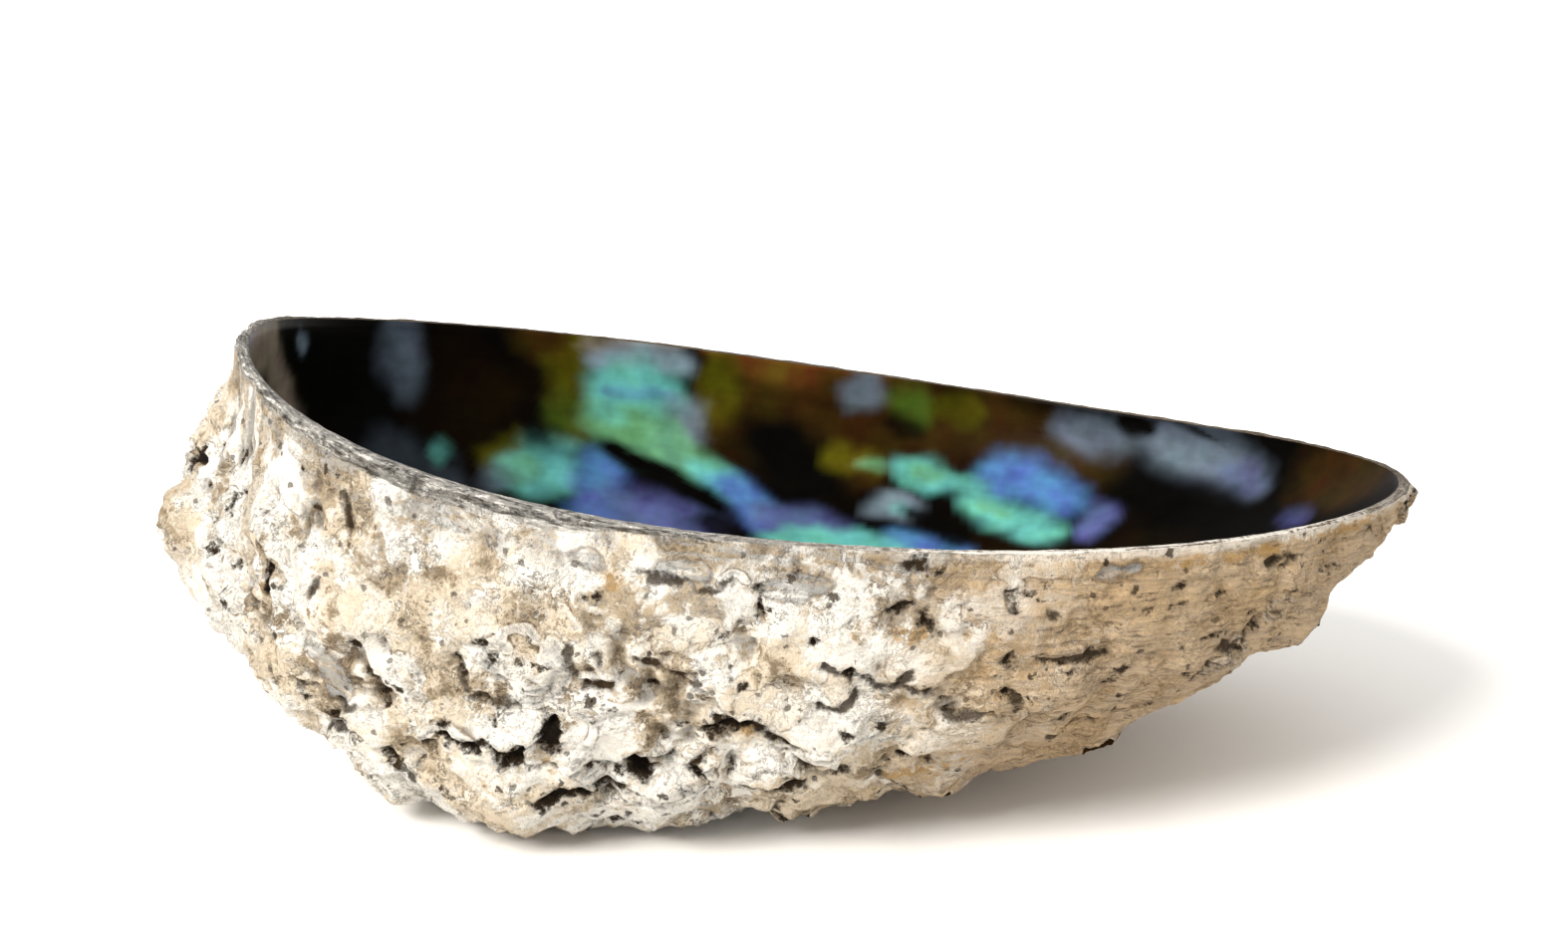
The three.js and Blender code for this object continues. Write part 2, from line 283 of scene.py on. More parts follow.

# Nacre patch of painted sheen: bright colours stand for iridescent reflections, the black for nacre that
# reflects nothing.
# Place, half length, half height, tilt in degrees, colour, strength. Later ones lie on top.
NACRE_SHEEN_PATCHES = [
    # Painted light: amber glow where light shines through the thin far rim.
    (92, 0.990, 20, 3.4, -3, "amber", 0.9),
    (120, 0.985, 10, 3.0, 0, "brown", 0.9),
    (72, 0.915, 26, 6.5, -6, "brown", 0.9),
    (100, 0.880, 9, 7.0, -30, "brown", 0.9),
    (88, 0.760, 9, 3.0, -14, "brown", 0.8),
    (119.5, 0.900, 4.2, 9.5, 0, "olive", 0.85),
    (121, 0.840, 3.6, 4.0, 0, "moss", 0.6),
    (102.5, 0.930, 3.8, 6.0, 10, "olive", 0.8),
    (112, 0.995, 9, 1.2, 0, "shade", 0.8),
    (111.5, 0.968, 8.6, 2.8, -2, "lavender", 1.0),
    (112.5, 0.905, 8.4, 5.0, -4, "teal", 1.0),
    (112.2, 0.900, 6.6, 1.2, -4, "blue", 0.4),
    (106.5, 0.850, 3.6, 4.4, 10, "lavender", 0.6),
    (113.5, 0.800, 9.0, 4.4, -18, "green", 0.95),
    (116, 0.840, 3.0, 2.0, -10, "teal", 0.6),
    (106.5, 0.750, 7.0, 3.6, -38, "green", 0.9),
    (103, 0.705, 5.0, 3.0, -38, "teal", 0.9),
    (99, 0.660, 7.4, 3.2, -34, "blue", 0.95),
    (91, 0.610, 8.6, 3.4, -18, "violet", 0.9),
    (84, 0.553, 13.0, 2.9, -5, "teal", 1.0),
    (71.5, 0.570, 8.0, 2.4, -6, "blue", 0.85),
    (130, 0.755, 4.8, 2.8, 30, "olive", 0.9),
    (126, 0.712, 6.8, 5.0, 0, "teal", 0.95),
    (128, 0.720, 3.6, 3.0, 0, "green", 0.6),
    (118.5, 0.690, 5.2, 4.0, -10, "blue", 0.85),
    (112, 0.600, 13.0, 4.6, -8, "violet", 0.95),
    (121, 0.610, 5.0, 3.0, 0, "blue", 0.5),
    (112, 0.722, 8.8, 2.2, -18, "ink", 1.0),
    (105.8, 0.665, 6.4, 2.2, -40, "ink", 1.0),
    (102.5, 0.585, 5.4, 3.0, -20, "ink", 0.95),
    (88.5, 0.865, 14.0, 5.0, -12, "brown", 0.95),
    (93.5, 0.772, 11.5, 6.0, -30, "ink", 1.0),
    (86, 0.785, 5.8, 2.4, -10, "olive", 0.95),
    (84, 0.775, 2.4, 1.4, 0, "green", 0.6),
    (77, 0.768, 5.6, 3.0, -12, "teal", 0.95),
    (76, 0.775, 3.4, 1.6, -12, "green", 0.7),
    (63, 0.772, 9.6, 4.4, -6, "blue", 1.0),
    (70.5, 0.735, 5.0, 2.6, -20, "teal", 0.7),
    (62.5, 0.668, 9.4, 3.4, -12, "teal", 1.0),
    (66, 0.690, 3.4, 1.6, -20, "green", 0.6),
    (50.8, 0.700, 3.0, 4.4, -20, "violet", 1.0),
    (79, 0.668, 4.2, 3.0, 0, "lavender", 0.8),
    (78.4, 0.655, 2.4, 1.4, 0, "teal", 0.5),
    (72.5, 0.628, 6.8, 2.4, -16, "ink", 0.95),
    (85, 0.955, 2.8, 3.6, 0, "slate", 0.9),
    (79.5, 0.953, 4.0, 2.8, -6, "moss", 0.95),
    (74, 0.955, 4.0, 2.6, -6, "olive", 0.6),
    (80.5, 0.905, 3.4, 2.4, 0, "ink", 0.8),
    (57.5, 0.945, 6.6, 3.6, -10, "slate", 0.95),
    (40, 0.905, 13.0, 5.0, -12, "slate", 0.95),
    (44, 0.905, 6.0, 2.4, -16, "lavender", 0.3),
    (33, 0.875, 5.0, 3.2, -12, "violet", 0.4),
    (51, 0.978, 3.8, 1.8, -20, "ink", 1.0),
    (44, 0.994, 6.0, 0.8, -4, "ink", 0.9),
    (38, 0.765, 15.0, 5.0, -6, "ink", 0.95),
    (14.5, 0.775, 3.6, 2.8, 0, "violet", 0.5),
    (12, 0.930, 12.0, 6.5, 0, "brown", 0.9),
    (141.8, 0.945, 4.4, 6.6, 0, "slate", 0.85),
    (188, 0.985, 14.0, 6.0, 0, "shade", 1.0),
    (171, 0.950, 12.0, 3.0, -45, "shade", 0.9),
    (162.5, 0.985, 1.6, 1.8, 0, "lavender", 0.7),
    (143, 0.740, 9.0, 4.0, -28, "slate", 0.35),
    (139, 0.772, 2.0, 1.7, 0, "teal", 0.55),
    (132, 0.700, 3.0, 2.6, -20, "slate", 0.6),
]
# Nacre clouds of painted sheen: noises of their outline, hue and haze, the hue from each level up, and the
# wall without them.
CLOUD_NOISE = (19.0, 3, 210)
HUE_NOISE = (24.0, 2, 220)
HAZE_NOISE = (24.0, 2, 190)
CLOUD_COLOURS = [(-0.8, "blue"), (-0.2, "teal"), (0.45, "green"), (1.0, "blue"), (1.5, "lavender")]
FAR_WALL = (82, 100)
# How far the nacre's pattern is shifted by noise, with the size and the seed of that noise.
NACRE_SHIFTS = [(2.4, 14.0, 160), (1.4, 6.0, 170)]

# Stage: floor, key light and camera.
FLOOR_HALF = 8000.0
FLOOR_Z = -0.02
KEY_PLACE = (-540, -580, 610)
KEY_SPREAD = 26
KEY_COLOUR = (1.0, 0.97, 0.93)
SKY_COLOUR = (1.0, 0.99, 0.97, 1.0)
FLOOR_CLOUD = (0.93, 0.92, 0.90)
CAMERA_PLACE = (-2.2, -331.2, 115.5)
CAMERA_TARGET = (-2.2, 0.1, 39.0)
CAMERA_LENS = 53.66
CAMERA_SENSOR = 36.0


def colour(red, green, blue):
    """A colour on the usual scale of 0 to 255 as shares of one."""
    return (red / 255, green / 255, blue / 255)


def linear(shade):
    """Scene-linear red, green, blue of a display colour, by the display curve."""
    shade = np.asarray(shade, float)[:3]
    return np.where(shade <= 0.04045, shade / 12.92, ((shade + 0.055) / 1.055) ** 2.4)


def colour_property(name, description, default):
    return bpy.props.FloatVectorProperty(
        name=name,
        description=description,
        subtype="COLOR_GAMMA",
        size=3,
        min=0,
        max=1,
        default=default,
    )


def length_property(name, description, default):
    return bpy.props.FloatProperty(
        name=name,
        description=description,
        subtype="DISTANCE",
        unit="LENGTH",
        default=default,
    )


class ShellForm(bpy.types.PropertyGroup):
    """How strongly the worn outside is shaped."""

    plate_step: length_property("Plate step", "Height of the scabs above the worn ground", 0.0006)
    crumb_height: length_property("Crumb height", "Height of the worn ground's crumbs", 0.00028)
    tube_height: length_property("Worm tube height", "How far the worm tubes stand up", 0.0010)
    crack_depth: length_property("Crack depth", "Depth of the cracks in the crust", 0.0008)


class ShellColours(bpy.types.PropertyGroup):
    """Colours of the crust, the lip and the nacre."""

    chalk: colour_property("Chalk", "Bleached crust", colour(253, 248, 238))
    tan: colour_property("Tan", "Old scabs", colour(220, 197, 162))
    sand: colour_property("Sand", "Smoother crust of the growing end", colour(204, 171, 127))
    soil: colour_property("Soil", "Brown dirt in the worn ground", colour(92, 74, 53))
    # Crevice: painted shade in hollows, cracks and borings, and also the dark layers of the lip and of the
    # band below it.
    hollow_shade_and_dark_layers: colour_property("Crevice", "Deep hollows and cracks", colour(26, 19, 13))
    scar: colour_property("Scar", "Bare shell under lost crust", colour(168, 168, 166))
    ochre: colour_property("Ochre", "Rusty stains", colour(176, 138, 80))
    lip: colour_property("Lip", "Broken edge of the lip", colour(138, 135, 129))
    # Nacre colours: painted sheen, the bright ones standing for iridescent reflections, the darkest for nacre
    # that reflects nothing.
    teal: colour_property("Teal", "Nacre", colour(86, 158, 148))
    green: colour_property("Green", "Nacre", colour(92, 146, 106))
    blue: colour_property("Blue", "Nacre", colour(69, 108, 158))
    violet: colour_property("Violet", "Nacre", colour(74, 81, 126))
    lavender: colour_property("Lavender", "Nacre", colour(113, 128, 140))
    slate: colour_property("Slate", "Dull nacre", colour(81, 91, 103))
    olive: colour_property("Olive", "Nacre at the edge of a bright patch", colour(74, 69, 8))
    moss: colour_property("Moss", "Nacre", colour(59, 76, 21))
    # Amber: painted light, the glow of light shining through the thin far rim.
    amber: colour_property("Amber", "Thin edge where light shines through", colour(91, 60, 20))
    brown: colour_property("Brown", "Dark nacre near bright patches", colour(46, 30, 6))
    shade: colour_property("Shade", "Dull streaks in dark nacre", colour(122, 110, 95))
    ink: colour_property("Ink", "Darkest nacre", colour(4, 3, 2))


class StageLook(bpy.types.PropertyGroup):
    """Floor and light."""

    floor: colour_property("Floor", "Plain floor", colour(253, 252, 250))
    key_strength: bpy.props.FloatProperty(
        name="Key light",
        description="Strength of the broad soft light from the upper left, in watts per square metre",
        default=3.7,
    )
    sky_strength: bpy.props.FloatProperty(
        name="Sky",
        description="Brightness of the even light from all round",
        default=0.95,
    )


def smoothstep(x, low, high):
    """0 below low, 1 above high, and a smooth climb between."""
    t = np.clip((x - low) / (high - low), 0, 1)
    return t * t * (3 - 2 * t)


def bell(u, at, width):
    """exp(-(angle from `at` / width) squared), angles in degrees, u in radians."""
    turn = np.asarray(u) - np.radians(at)
    return np.exp(-((np.arctan2(np.sin(turn), np.cos(turn)) / np.radians(width)) ** 2))


def bells(u, rows):
    return sum(rise * bell(u, at, width) for at, width, rise in rows)


def chance(index, kind):
    """The part after the point of sin(index * 127.1 + kind * 311.7) * 43758.5453: evenly spread numbers."""
    wave = np.sin(np.asarray(index) * 127.1 + kind * 311.7) * 43758.5453
    return wave - np.floor(wave)


def lip_points(u):
    """A superellipse whose power is larger at the spire, with a height that climbs to the spire in waves."""
    c = np.cos(u)
    s = np.sin(u)
    power = LIP_SQUARENESS - LIP_SQUARER_AT_SPIRE * c
    reach = (np.abs(c) ** power + np.abs(s) ** power) ** (-1 / power)
    x = LIP_CENTRE[0] + LIP_HALF[0] * reach * c
    y = LIP_CENTRE[1] + LIP_HALF[1] * reach * s * (1 - LIP_NARROWING * c)
    z = LIP_HEIGHT - LIP_CLIMB * c + LIP_END_RISE * np.cos(2 * u) + bells(u, LIP_WAVES)
    return np.stack([x, y, z], -1)


def bowl_points(u, v):
    """The bare bowl: in each direction u a superellipse from the lowest point, v = 0, to the lip, v = 1."""
    angle = v * np.pi / 2
    power = WALL_POWER + bells(u, WALL_BOXIER) * smoothstep(v, 0, BOXIER_FROM_V)
    out = np.sin(angle) ** (2 / power)
    up = 1 - np.maximum(np.cos(angle), 0) ** (2 / power)
    lip = lip_points(u)
    dx = lip[..., 0] - LOWEST[0]
    dy = lip[..., 1] - LOWEST[1]
    swell = bells(u, WALL_SWELLS) * (4 * up * (1 - up)) ** SWELL_STEEPNESS / np.hypot(dx, dy)
    z = lip[..., 2] * up + LOWEST[2] * (1 - v)
    return np.stack([LOWEST[0] + dx * (out + swell), LOWEST[1] + dy * (out + swell), z], -1)


def unit(vectors):
    return vectors / np.maximum(np.linalg.norm(vectors, axis=-1, keepdims=True), 1e-9)


def bowl_axes(u, v):
    """Unit vectors round the bowl, up its wall and out of it, from short steps in u and v."""
    inside = np.clip(v, *AXES_V)
    along = bowl_points(u + AXES_STEP, inside) - bowl_points(u - AXES_STEP, inside)
    upwards = bowl_points(u, inside + AXES_STEP) - bowl_points(u, inside - AXES_STEP)
    outwards = unit(np.cross(along, upwards))
    along = unit(along)
    return along, np.cross(outwards, along), outwards


def mound(distance, radius):
    """The square of 1 - (distance / radius) squared, and 0 outside the radius."""
    left = np.maximum(0, 1 - (distance / radius) ** 2)
    return left * left


def scatter(count, kind):
    """Places spread by the golden angle, v growing as a square root so that each has the same area."""
    i = np.arange(count)
    u = i * np.pi * (3 - np.sqrt(5)) + chance(i, kind)
    v = np.sqrt((i + chance(i, kind + 1)) / count)
    return u, v


def sum_of_mounds(points, centres, radii, heights):
    total = np.zeros(len(points))
    for centre, radius, height in zip(centres, radii, heights):
        total += height * mound(np.linalg.norm(points - centre, axis=1), radius)
    return total


def scattered_mounds(points, count, kind, radius, height):
    u, v = scatter(count, kind)
    i = np.arange(count)
    radii = radius[0] + (radius[1] - radius[0]) * chance(i, kind + 2)
    heights = height[0] + (height[1] - height[0]) * chance(i, kind + 3)
    return sum_of_mounds(points, bowl_points(u, v), radii, heights)


def row_places():
    """Turrets of the row: even steps in u, v closing in on its end, each one smaller than the last."""
    i = np.arange(ROW_TURRETS)
    u = np.radians(ROW_START_U - ROW_STEP_U * i)
    v = ROW_V[1] + (ROW_V[0] - ROW_V[1]) * ROW_CLOSING**i
    return u, v, ROW_SHRINKING**i


def keel_relief(u, v):
    """A ridge along the row of holes: a bell across it, a mound along it."""
    height, width, middle, reach = KEEL
    turn = np.radians(ROW_START_U) - u
    count = np.arctan2(np.sin(turn), np.cos(turn)) / np.radians(ROW_STEP_U)
    row_v = ROW_V[1] + (ROW_V[0] - ROW_V[1]) * ROW_CLOSING ** np.clip(count, -1, ROW_TURRETS)
    return height * mound(count - middle, reach) * np.exp(-(((v - row_v) / width) ** 2))


def spire_relief(points):
    """A mound, less a groove along a logarithmic spiral about the spire's tip."""
    start, growth, width, depth, reach = SEAM
    u = np.radians(SPIRE_PLACE[0])
    v = np.float64(SPIRE_PLACE[1])
    outwards = bowl_axes(u, v)[2]
    up = np.array([0, 0, 1.0])
    along = unit(up - outwards * (up @ outwards))
    across = np.cross(outwards, along)
    away = points - bowl_points(u, v)
    distance = np.linalg.norm(away, axis=1)
    angle = np.arctan2(away @ across, away @ along)
    turns = np.log(np.maximum(distance, 1) / start) / growth - angle
    to_seam = np.abs(turns - TURN * np.round(turns / TURN)) * growth * distance
    groove = depth * mound(distance, reach) * np.exp(-((to_seam / width) ** 2))
    return SPIRE[1] * mound(distance, SPIRE[0]) - groove


def main_relief(points, u, v):
    """The relief of the solid: lumps, pits, ledges of the growing end, turrets, keel and spire."""
    growing = bell(u, *GROWING_END)
    crust = scattered_mounds(points, *LUMPS) - scattered_mounds(points, *PITS)
    ledges = sum(rise * np.exp(-(((v - at) / LEDGE_WIDTH) ** 2)) for at, rise in GROWTH_LEDGES)
    row_u, row_v, size = row_places()
    turrets = sum_of_mounds(points, bowl_points(row_u, row_v), TURRET[0] * size, TURRET[1] * size)
    lump_u, lump_v, radii, heights = np.array(BROAD_LUMPS).T
    broad = sum_of_mounds(points, bowl_points(np.radians(lump_u), lump_v), radii, heights)
    relief = crust * (1 - GROWING_END_SMOOTHER * growing) + ledges * growing + turrets + broad
    return relief + keel_relief(u, v) + spire_relief(points)


def hashed(cells, seed):
    """A whole number that looks random for each cell of a grid: its three counts, multiplied and folded."""
    parts = cells.astype(np.int64).astype(np.uint32)
    h = parts[..., 0] * np.uint32(0x8DA6B343)
    h ^= parts[..., 1] * np.uint32(0xD8163841)
    h ^= parts[..., 2] * np.uint32(0xCB1AB31F)
    h ^= np.uint32((seed * 0x9E3779B9) & 0xFFFFFFFF)
    h ^= h >> np.uint32(13)
    h *= np.uint32(0x5BD1E995)
    h ^= h >> np.uint32(15)
    h *= np.uint32(0x27D4EB2F)
    return h ^ (h >> np.uint32(13))


def hashed_vectors(cells, seed):
    """Three numbers from -1 to 1 for each cell."""
    h = hashed(cells, seed)
    bits = [(h >> np.uint32(shift)) & np.uint32(1023) for shift in (0, 10, 20)]
    return np.stack(bits, -1) / 511.5 - 1


def noise(points, size, seed):
    """Gradient noise: a slope at each corner of a grid of that size, and a smooth blend between them."""
    scaled = points / size
    low = np.floor(scaled)
    part = scaled - low
    fade = part**3 * (part * (part * 6 - 15) + 10)
    total = np.zeros(len(points))
    for corner in np.ndindex(2, 2, 2):
        slope = hashed_vectors(low + corner, seed)
        weight = np.prod(np.where(corner, fade, 1 - fade), axis=1)
        total += weight * np.sum(slope * (part - corner), axis=1)
    return total


def layered_noise(points, size, layers, seed):
    """Noise of halving size and height, added up."""
    total = np.zeros(len(points))
    for layer in range(layers):
        total += noise(points, size / 2**layer, seed + layer) / 2**layer
    return total


def noise_vectors(points, size, seed):
    return np.stack([noise(points, size, seed + k) for k in range(3)], -1)


def nearest_cells(points, size, seed):
    """Distance to the nearest of one random point for each grid cell, in cells, and that cell's chance."""
    scaled = points / size
    low = np.floor(scaled)
    best = np.full(len(points), np.inf)
    luck = np.zeros(len(points))
    for step in np.ndindex(3, 3, 3):
        cells = low + np.array(step) - 1
        centre = cells + 0.5 + 0.5 * hashed_vectors(cells, seed)
        distance = np.linalg.norm(scaled - centre, axis=1)
        nearer = distance < best
        best = np.where(nearer, distance, best)
        luck = np.where(nearer, hashed(cells, seed + 7) / 2**32, luck)
    return best, luck


def local(points, u_degrees, v):
    """Coordinates round and up the wall about a place on the bowl, and the distance off its plane."""
    u = np.radians(u_degrees)
    v = np.float64(v)
    along, upwards, outwards = bowl_axes(u, v)
    away = points - bowl_points(u, v)
    return away @ along, away @ upwards, np.abs(away @ outwards)


def oval_distance(points, u, v, half_length, half_height, tilt):
    """Nearly the distance to the outline of a tilted ellipse on the wall, negative inside it."""
    across, up, off = local(points, u, v)
    turn = np.radians(tilt)
    a = across * np.cos(turn) + up * np.sin(turn)
    b = up * np.cos(turn) - across * np.sin(turn)
    ratio = np.sqrt((a / half_length) ** 2 + (b / half_height) ** 2)
    slope = np.sqrt((a / half_length**2) ** 2 + (b / half_height**2) ** 2)
    distance = (ratio - 1) * ratio / np.maximum(slope, 1e-6)
    distance = np.where(ratio > 1e-3, distance, -min(half_length, half_height))
    return np.maximum(distance, off - MARK_DEPTH)


def path_distance(points, path):
    """Distance to the nearest straight piece of a path."""
    best = np.full(len(points), np.inf)
    for start, end in zip(path[:-1], path[1:]):
        leg = end - start
        share = np.clip((points - start) @ leg / max(leg @ leg, 1e-9), 0, 1)
        best = np.minimum(best, np.linalg.norm(points - start - share[:, None] * leg, axis=1))
    return best


def arc_path(u_degrees, v, radius, start, sweep):
    """An arc of a circle on the wall about a place on the bowl."""
    u = np.radians(u_degrees)
    v = np.float64(v)
    along, upwards, _ = bowl_axes(u, v)
    turn = np.radians(start + sweep * np.linspace(0, 1, max(4, int(abs(sweep) / 14))))
    ring = np.cos(turn)[:, None] * along + np.sin(turn)[:, None] * upwards
    return bowl_points(u, v) + radius * ring


def places(path):
    """Directions in radians and heights of a list of places."""
    at, height = np.array(path).T
    return np.radians(at), height


def hidden_places(count, kind):
    """Scattered places on the sides away from the steep one, where marks are spread by chance."""
    u, v = scatter(count, kind)
    degrees = np.degrees(u) % 360
    keep = (degrees < STEEP_SIDE[0]) | (degrees > STEEP_SIDE[1]) | (v < 0.45)
    keep &= (v > 0.25) & (v < 0.97)
    return degrees[keep], v[keep]


def scattered_marks():
    """Hollows, tubes, scars, flakes and stains for the other sides, with sizes and turns by chance."""
    u, v = hidden_places(70, 31)
    pick = [chance(np.arange(len(u)), 41 + k) for k in range(6)]
    marks = {"hollows": [], "tubes": [], "scars": [], "flakes": [], "stains": []}
    for at, height, share, size, turn, sweep, width, tilt in zip(u, v, *pick):
        place = (at, height)
        lean = 160 * tilt - 80
        if share < 0.34:
            marks["hollows"].append((*place, 0.7 + 2.4 * size, 0.6 + 1.2 * width, lean, 0.8 + width))
        elif share < 0.62:
            arc = (1.6 + 3.4 * size, 360 * turn, 90 + 200 * sweep)
            marks["tubes"].append((*place, *arc, 0.6 + 0.4 * width))
        elif share < 0.76:
            marks["scars"].append((*place, 2 + 2.6 * size, 1.4 + 1.4 * width, lean))
        elif share < 0.92:
            marks["flakes"].append((*place, 3 + 4 * size, 2 + 2 * width, lean, 0.4 + 0.6 * turn))
        else:
            marks["stains"].append((*place, 2 + 4 * size, 0.8 + width, lean))
    return marks


def small_marks():
    """Small slits, cracks and worm tubes all over, by chance. The growing end has only level slits."""
    u, v = scatter(760, 231)
    keep = (v > 0.2) & (v < 0.975)
    degrees = np.degrees(u[keep]) % 360
    growing = bell(u[keep], *GROWING_END) > 0.45
    pick = [chance(np.arange(len(degrees)), 251 + k) for k in range(5)]
    marks = {"hollows": [], "cracks": [], "tubes": []}
    for at, height, level, share, size, turn, sweep, width in zip(degrees, v[keep], growing, *pick):
        place = (at, height)
        length = 0.4 + 0.9 * size
        if level:
            if share < 0.55:
                marks["hollows"].append((*place, length, 0.24 + 0.16 * width, 24 * turn - 12, 0.5))
        elif share < 0.42:
            shape = (length, 0.3 + 0.35 * width, 140 * turn - 70)
            marks["hollows"].append((*place, *shape, 0.4 + 0.7 * width))
        elif share < 0.66:
            marks["cracks"].append((*place, 2 + 5 * size, 360 * turn, 30 + 70 * sweep))
        elif share < 0.74:
            arc = (1.1 + 1.6 * size, 360 * turn, 80 + 200 * sweep)
            marks["tubes"].append((*place, *arc, 0.5 + 0.25 * width))
    return marks


def ragged_ovals(points, rows, ragged, share):
    """Distance to the outline of each oval, roughened by noise in step with the oval's size."""
    sizes = [min(share, 0.75 * min(row[2], row[3])) for row in rows]
    return [oval_distance(points, *row[:5]) + ragged * size for row, size in zip(rows, sizes)]


def even(field):
    """A field moved and scaled so that its mean is 0 and its standard deviation 1."""
    return (field - field.mean()) / field.std()


def terraces(field, levels, width):
    """One smooth step up at each level of a field, so that its slopes turn into flat ledges."""
    return sum(smoothstep(field, level - width, level + width) for level in levels)


def growth_coordinates(u, v):
    """A ring of fixed size for the direction, and the length of wall from the lip down: lines of growth."""
    below = np.zeros(len(u))
    steps = 10
    last = bowl_points(u, v)
    for k in range(1, steps + 1):
        here = bowl_points(u, v + (1 - v) * k / steps)
        below += np.linalg.norm(here - last, axis=1)
        last = here
    return np.stack([GROWTH_RADIUS * np.cos(u), GROWTH_RADIUS * np.sin(u), below], -1)


def worn_ground(bare, lay, growing, folded, form):
    """Scabs in ledges where a warped noise is high, with crumbs between them, folds and streaks of growth.

    Gives the noise of the larger scabs and the height of the ground.
    """
    warped = bare + 3.0 * noise_vectors(bare, 7.0, 3)
    plate = even(layered_noise(warped, *PLATE_NOISE))
    scab = even(layered_noise(warped, *SCAB_NOISE))
    crumbs = even(layered_noise(bare, *CRUMB_NOISE))
    folds = layered_noise(lay * np.array(FOLDS_RUN), *FOLD_NOISE) * folded
    streaks = layered_noise(lay * np.array(STREAKS_RUN), *STREAK_NOISE) * growing
    calm = 1 - 0.65 * growing
    step = form.plate_step / MM
    height = step * (terraces(plate, PLATE_LEVELS, 0.12) - 1.6) * calm
    height += 0.7 * step * (terraces(scab, SCAB_LEVELS, 0.16) - 0.9) * calm
    height += form.crumb_height / MM * crumbs * (1.3 - 0.6 * smoothstep(plate, -0.3, 0.6)) * calm
    return plate, height + 2.2 * folds + 0.5 * streaks


def nearest(ovals):
    return np.min(ovals, axis=0)


def oval_heights(rows, ovals, low, high):
    """The height at the end of each row, reached from its oval's edge to its inside, added up."""
    return sum(row[5] * smoothstep(-oval, low, high) for row, oval in zip(rows, ovals))


def crust_marks(bare):
    """Distances to the nearest mark of each kind, and the flakes' heights less the hollows' depths."""
    ragged = 0.5 * even(noise(bare, 2.4, 80) + 0.6 * noise(bare, 1.2, 81))
    others = scattered_marks()
    small = small_marks()
    hollows = HOLLOWS + others["hollows"] + small["hollows"]
    flakes = FLAKES + others["flakes"]
    hollow_ovals = ragged_ovals(bare, hollows, ragged, 1.5)
    flake_ovals = ragged_ovals(bare, flakes, ragged, 0.8)
    cracks = [bowl_points(*places(crack)) for crack in CRACKS] + [arc_path(*row) for row in small["cracks"]]
    tubes = TUBES + others["tubes"] + small["tubes"]
    cells, luck = nearest_cells(bare, BORE_CELL, 130)
    marks = {
        "hollow": nearest(hollow_ovals),
        "flake": nearest(flake_ovals),
        "scar": nearest(ragged_ovals(bare, SCARS + others["scars"], ragged, 0.6)),
        "stain": nearest(ragged_ovals(bare, STAINS + others["stains"], ragged, 1.2)),
        "smudge": nearest(ragged_ovals(bare, SMUDGES, ragged, 1.2)),
        "crack": nearest([path_distance(bare, path) for path in cracks]) + 0.35 * ragged,
        "tube": nearest([path_distance(bare, arc_path(*row[:5])) / row[5] for row in tubes]),
        "bore": cells * BORE_CELL - BORE_RADIUS * smoothstep(luck, 0.6, 1.0),
    }
    heights = oval_heights(flakes, flake_ovals, -0.2, 0.6) - oval_heights(hollows, hollow_ovals, -0.25, 0.7)
    return marks, heights


def marked_ground(ground, marks, heights, form):
    """The ground, smoother on flakes and scars, with hollows, cracks and borings in it and tubes on it.

    A crack is a bell across its line, a tube a half round with a groove along it.
    """
    height = ground * (1 - 0.7 * smoothstep(-marks["flake"], -0.3, 0.4))
    height *= 1 - 0.8 * smoothstep(-marks["scar"], -0.3, 0.4)
    height += heights
    height -= 0.35 * smoothstep(-marks["scar"], -0.2, 0.5)
    height += 0.3 * np.exp(-((marks["scar"] / 0.5) ** 2))
    height -= form.crack_depth / MM * np.exp(-((marks["crack"] / 0.5) ** 2))
    height += form.tube_height / MM * np.sqrt(np.maximum(0, 1 - marks["tube"] ** 2))
    height -= 0.9 * form.tube_height / MM * np.exp(-((marks["tube"] / 0.4) ** 2))
    return height - 0.8 * smoothstep(-marks["bore"], -0.2, 0.4)


def crust_surface(u, v, form):
    """The outside: the bowl plus the solid's relief and the fine crust's, both lower at the lip.

    Gives the points, the fields that the crust's colours need, and the lines of growth.
    """
    bare = bowl_points(u, v)
    outwards = bowl_axes(u, v)[2]
    lay = growth_coordinates(u, v)
    growing = bell(u, *GROWING_END)
    folded = bell(u, *FOLDED_SIDE) * smoothstep(v, 0.62, 0.86)
    plate, ground = worn_ground(bare, lay, growing, folded, form)
    marks, heights = crust_marks(bare)
    detail = marked_ground(ground, marks, heights, form)
    kept = 1 + (RELIEF_LEFT_AT_LIP - 1) * smoothstep(v, RELIEF_FADES_FROM, 1)
    fine = 1 - 0.75 * smoothstep(v, 0.97, 1)
    relief = kept * main_relief(bare, u, v) + fine * detail
    relief = np.maximum(relief, THINNEST_WALL - wall_thickness(u, v))
    points = bare + outwards * relief[:, None]
    points[:, 2] = np.maximum(points[:, 2], 0)
    band = GREY_BAND_HEIGHT * bell(u, *GREY_BAND) - GREY_BAND_EDGE
    fields = {name: np.clip(distance, -FARTHEST, FARTHEST) for name, distance in marks.items()}
    fields["crack"] = np.maximum(fields["crack"], 0)
    fields.update(plate=plate, growing=growing, folded=folded, height=detail, rim=lay[:, 2] - band)
    return points, fields, lay


def wall_thickness(u, v):
    """From the lip's own thickness, broad on one side, to that of the middle with the cube of v."""
    edge = THICKNESS_EDGE + THICKNESS_BROAD_LIP * bell(u, *BROAD_LIP)
    return THICKNESS_MIDDLE + (edge - THICKNESS_MIDDLE) * v**3


def nacre_surface(u, v):
    """The inside: the bowl moved in by the wall's thickness, with a slow swell of a tenth of that."""
    bare = bowl_points(u, v)
    outwards = bowl_axes(u, v)[2]
    swell = 0.45 * noise(bare, 22.0, 150) * smoothstep(1 - v, 0.0, 0.12)
    return bare - outwards * (wall_thickness(u, v) + swell)[:, None]


def blended(under, over, share):
    """One colour for each point: `under` where the share is 0, `over` where it is 1."""
    return under + (over - under) * share[:, None]


